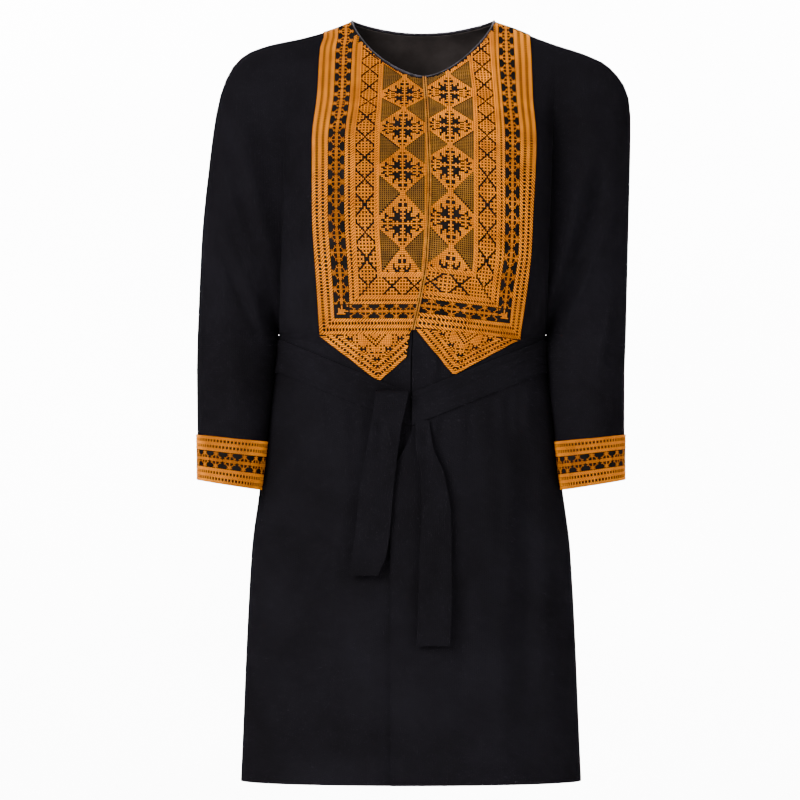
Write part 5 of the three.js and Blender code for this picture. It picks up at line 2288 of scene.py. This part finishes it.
@dataclass
class Belt:
    """The tied strip: the stretches round the waist, the knot and the two tails."""

    surface: CoatSurface
    finishes: Finishes
    off: float = 0.4
    cloth: float = 2.4
    seam_gap: float = 0.3
    knot_half: float = 18
    knot_radius: float = 4.1
    knot_drop: float = 443.5
    knot_x: float = -37
    knot_off: float = 3.2
    knot_bulge: float = 0.8
    knot_curl: float = 0.6
    knot_sides: int = 48
    over_knot: float = 4
    wave: float = 1.1
    # drop, from, to (both from the leaning centre), lift off the skirt
    tails: dict[Side, Table] = field(default_factory=lambda: {
        Side.RIGHT: (
            (443.5, -42, -3.5, 12.4), (462, -44.5, -7.5, 10.4), (480, -47.5, -11.5, 8), (515, -54, -16.5, 6),
            (548, -59.5, -20.5, 5.5), (598, -64.5, -24.5, 5.5), (630, -69, -29, 6), (654, -73.5, -39, 7),
        ),
        Side.LEFT: (
            (472.8, 5, 21, 2), (488, 5, 23.5, 4.2), (508, 6, 27, 6.5), (534, 11, 38, 7), (585, 12, 46, 6.5),
            (630, 10, 47, 6), (690, 8, 47, 6), (736, 6, 45, 6.5),
        ),
    })

    def build(self) -> None:
        """Makes the stretches, the tails and the knot."""
        for side in Side:
            self.front(side)
        self.back()
        knot = self.knot()
        for side in Side:
            self.tail(side)

    def creased(self, points: Array, seed: int) -> Array:
        """How far the strip's outside lies off the skirt, with lengthwise creases from tying.

        Args:
            points: The grid under it, lengthwise by across.
            seed: Which creases.

        Returns:
            The distances.
        """
        length = run_along(points[:, 0])[:, None]
        across = np.linspace(0, 1, points.shape[1])[None]
        outside = np.full(points.shape[:2], self.off + self.cloth)
        for i, at in enumerate((0.22, 0.47, 0.76)):
            middle = at + 0.07 * wavering(length, seed + i, 4, 160)
            depth = 0.55 + 0.35 * wavering(length, seed + 10 + i, 4, 90)
            outside = outside - depth * np.exp(-(((across - middle) / 0.045) ** 2))
        edge = np.minimum(across, 1 - across)
        return outside - 0.9 * np.exp(-((edge / 0.035) ** 2))

    def grid(self, side: Side, face: Face) -> Array:
        """The skirt's surface under the belt, from the centre to the side.

        Args:
            side: The wearer's side.
            face: Front or back.

        Returns:
            The grid, lengthwise by across.
        """
        column = (np.linspace(0, 90, 91) * DEG)[:, None]
        top = self.surface.belt_top(face, column)
        width = self.surface.belt_width
        return self.surface.skirt(side, face, column, top + width * np.linspace(0, 1, 27)[None])

    def stretch(self, name: str, node: str, points: Array, outwards: Array, seed: int) -> None:
        """Makes one stretch of the belt.

        Args:
            name: Its name.
            node: The node it stands for.
            points: The grid under it.
            outwards: A rough outward direction for each point.
            seed: Which creases it has.
        """
        normals = grid_normals(points, outwards)
        solid = grid_wall(points, normals, self.off, self.creased(points, seed))
        made = make_object(name, solid, self.finishes.crepe)
        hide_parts(node)
        steps = np.linalg.norm(np.diff(points[:, 13], axis=0), axis=1)
        width, length = 0.0405, float(steps.sum()) * MM
        min(grid_area(points), width * length)
        LOG.info("%s: %.0f mm long", name, length / MM)

    def front(self, side: Side) -> None:
        """Makes one side's stretch in front.

        Args:
            side: The wearer's side.
        """
        points = self.grid(side, Face.FRONT)
        points[..., 0] += side.value * FRONT_GAP * np.linspace(1, 0, points.shape[0])[:, None] ** 4
        points[-1, :, 1] -= self.seam_gap / 2
        outwards = points * [1, 1, 0] + [0, 30, 0]
        name = side.name.lower()
        self.stretch(f"belt_strip_{name}", f"belt_{name}", points, outwards, 20 + side.value)

    def back(self) -> None:
        """The stretch behind, in one from side to side."""
        right, left = (self.grid(side, Face.BACK) for side in Side)
        points = np.concatenate([right[::-1], left[1:]])
        points[[0, -1], :, 1] += self.seam_gap / 2
        self.stretch("belt_strip_back", "belt_back", points, points * [1, 1, 0], 33)

    def skirt_front(self, x: Array, drop: Array) -> Array:
        """Points of the skirt's front at places across, on whichever side they are."""
        right, left = (self.surface.front_point(side, x, drop) for side in Side)
        return np.where((x < self.surface.lean(drop))[..., None], right, left)

    def knot(self) -> Object:
        """Makes the turn of the belt over itself: a band gathered into lengthwise folds.

        Returns:
            The knot.
        """
        share = np.linspace(-1, 1, 45)
        y = self.skirt_front(np.array(self.knot_x), np.array(self.knot_drop))[1]
        y = y - self.off - self.cloth - self.knot_off - self.knot_radius
        height = -self.knot_drop + self.knot_curl * share**2
        path = np.stack([
            self.knot_x + share * self.knot_half, y - self.knot_bulge * (1 - share**2), height,
        ], axis=1)
        sides = self.knot_sides
        turn = np.linspace(0, 2 * math.pi, sides, endpoint=False)[None]
        share = share[:, None]
        fold = 0.5 * np.cos(5 * turn + 1.5 * share) + 0.3 * np.cos(9 * turn - share)
        radius = self.knot_radius * (1 - 0.28 * np.abs(share) ** 5) * (0.93 + 0.1 * fold)
        ring = np.stack([0 * radius, -np.cos(turn) * radius, np.sin(turn) * radius], axis=-1)
        points = (path[:, None] + ring).reshape(-1, 3)
        index = np.arange(len(share) * sides).reshape(len(share), sides)
        quads = ring_quads(index)[:, [0, 3, 2, 1]]
        faces = quads.tolist() + [index[0].tolist(), index[-1, ::-1].tolist()]
        made = make_object("belt_tie", Solid(points, faces), self.finishes.crepe_plain)
        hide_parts("belt_knot")
        LOG.info("belt knot: %d quads", len(quads))
        return made

    def tail(self, side: Side) -> None:
        """One hanging end of the belt.

        Args:
            side: Which end.
        """
        drops, left_x, right_x, lifts = columns_of(self.tails[side])
        drop = np.linspace(drops[0], drops[-1], 110)[:, None]
        across = np.linspace(0, 1, 25)[None]
        x = mix(Curve(drops, left_x)(drop), Curve(drops, right_x)(drop), across) + self.surface.lean(drop)
        lift = Curve(drops, lifts)(drop) + (self.over_knot if side is Side.RIGHT else 0)
        low = np.broadcast_to(drop, x.shape)
        free = smooth(drop, drops[0], drops[0] + 25)
        wave = self.wave * np.sin(5.7 * across + 1.3 * (drop - drops[0]) / 32)
        wave = (wave + self.tail_folds(side, across, drop)) * free
        base = self.skirt_front(x, low)
        points = np.stack([x, base[..., 1] - lift - wave, -low], axis=-1)
        outwards = np.broadcast_to(np.array([0, -1.0, 0]), points.shape)
        if side is Side.RIGHT:
            points, outwards = self.turned_over(points)
        normals = grid_normals(points, outwards)
        solid = grid_wall(points, normals, -self.cloth / 2, self.cloth / 2)
        name = side.name.lower()
        made = make_object(f"belt_end_{name}", solid, self.finishes.crepe)
        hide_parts(f"belt_tail_{name}")
        width, length = 0.041, (drops[-1] - drops[0]) * MM
        min(grid_area(points), 0.999 * width * length)
        LOG.info("belt tail %s: %.0f mm", name, length / MM)

    def turned_over(self, points: Array) -> tuple[Array, Array]:
        """Leads a tail's top up over the knot and down behind it.

        Args:
            points: The tail's grid, its first row in front of the knot's middle.

        Returns:
            The longer grid, and a rough outward direction for each point.
        """
        radius = self.knot_radius + self.cloth / 2 + 0.15
        turn = np.linspace(160, 10, 16)[:, None] * DEG
        middle = points[0] + [0, radius, 0]
        ring = np.zeros((len(turn), *middle.shape))
        ring[..., 1] = -np.cos(turn) * radius
        ring[..., 2] = np.sin(turn) * radius
        outwards = np.broadcast_to(np.array([0, -1.0, 0]), points.shape)
        return np.concatenate([middle + ring, points]), np.concatenate([ring, outwards])

    def tail_folds(self, side: Side, across: Array, drop: Array) -> Array:
        """Soft slanting creases that tying has left in a tail.

        Args:
            side: Which tail.
            across: Shares of the way across it.
            drop: Distances below the shoulder.

        Returns:
            How far the creases stand out.
        """
        creases = {
            Side.RIGHT: ((492, 0.55, 1.6), (512, -0.5, -1.4), (575, 0.4, 1.3), (610, -0.4, -1.1)),
            Side.LEFT: (
                (505, 0.5, 1.4), (560, -0.8, -1.5), (612, 0.7, 1.6), (650, -0.5, -1.2), (690, 0.4, 1.0),
            ),
        }[side]
        total = np.zeros(np.broadcast_shapes(across.shape, drop.shape))
        for at, slope, rise in creases:
            away = drop - at - slope * 40 * (across - 0.5)
            total = total + rise * np.exp(-((away / 9) ** 2))
        return total


def main() -> None:
    """Builds the coat piece by piece, then the studio."""
    Studio().build()
    finishes = Finishes()
    surface = CoatSurface()
    halves = {side: HalfCoat(surface, side) for side in Side}
    Panels(halves, finishes.crepe).build()
    for side in Side:
        Plastron(surface, side, finishes).build()
        EdgePiping(surface, side, finishes).build()
        Cuff(surface, side, finishes).build()
    Neck(surface, finishes).build()
    Belt(surface, finishes).build()


if __name__ == "__main__":
    main()
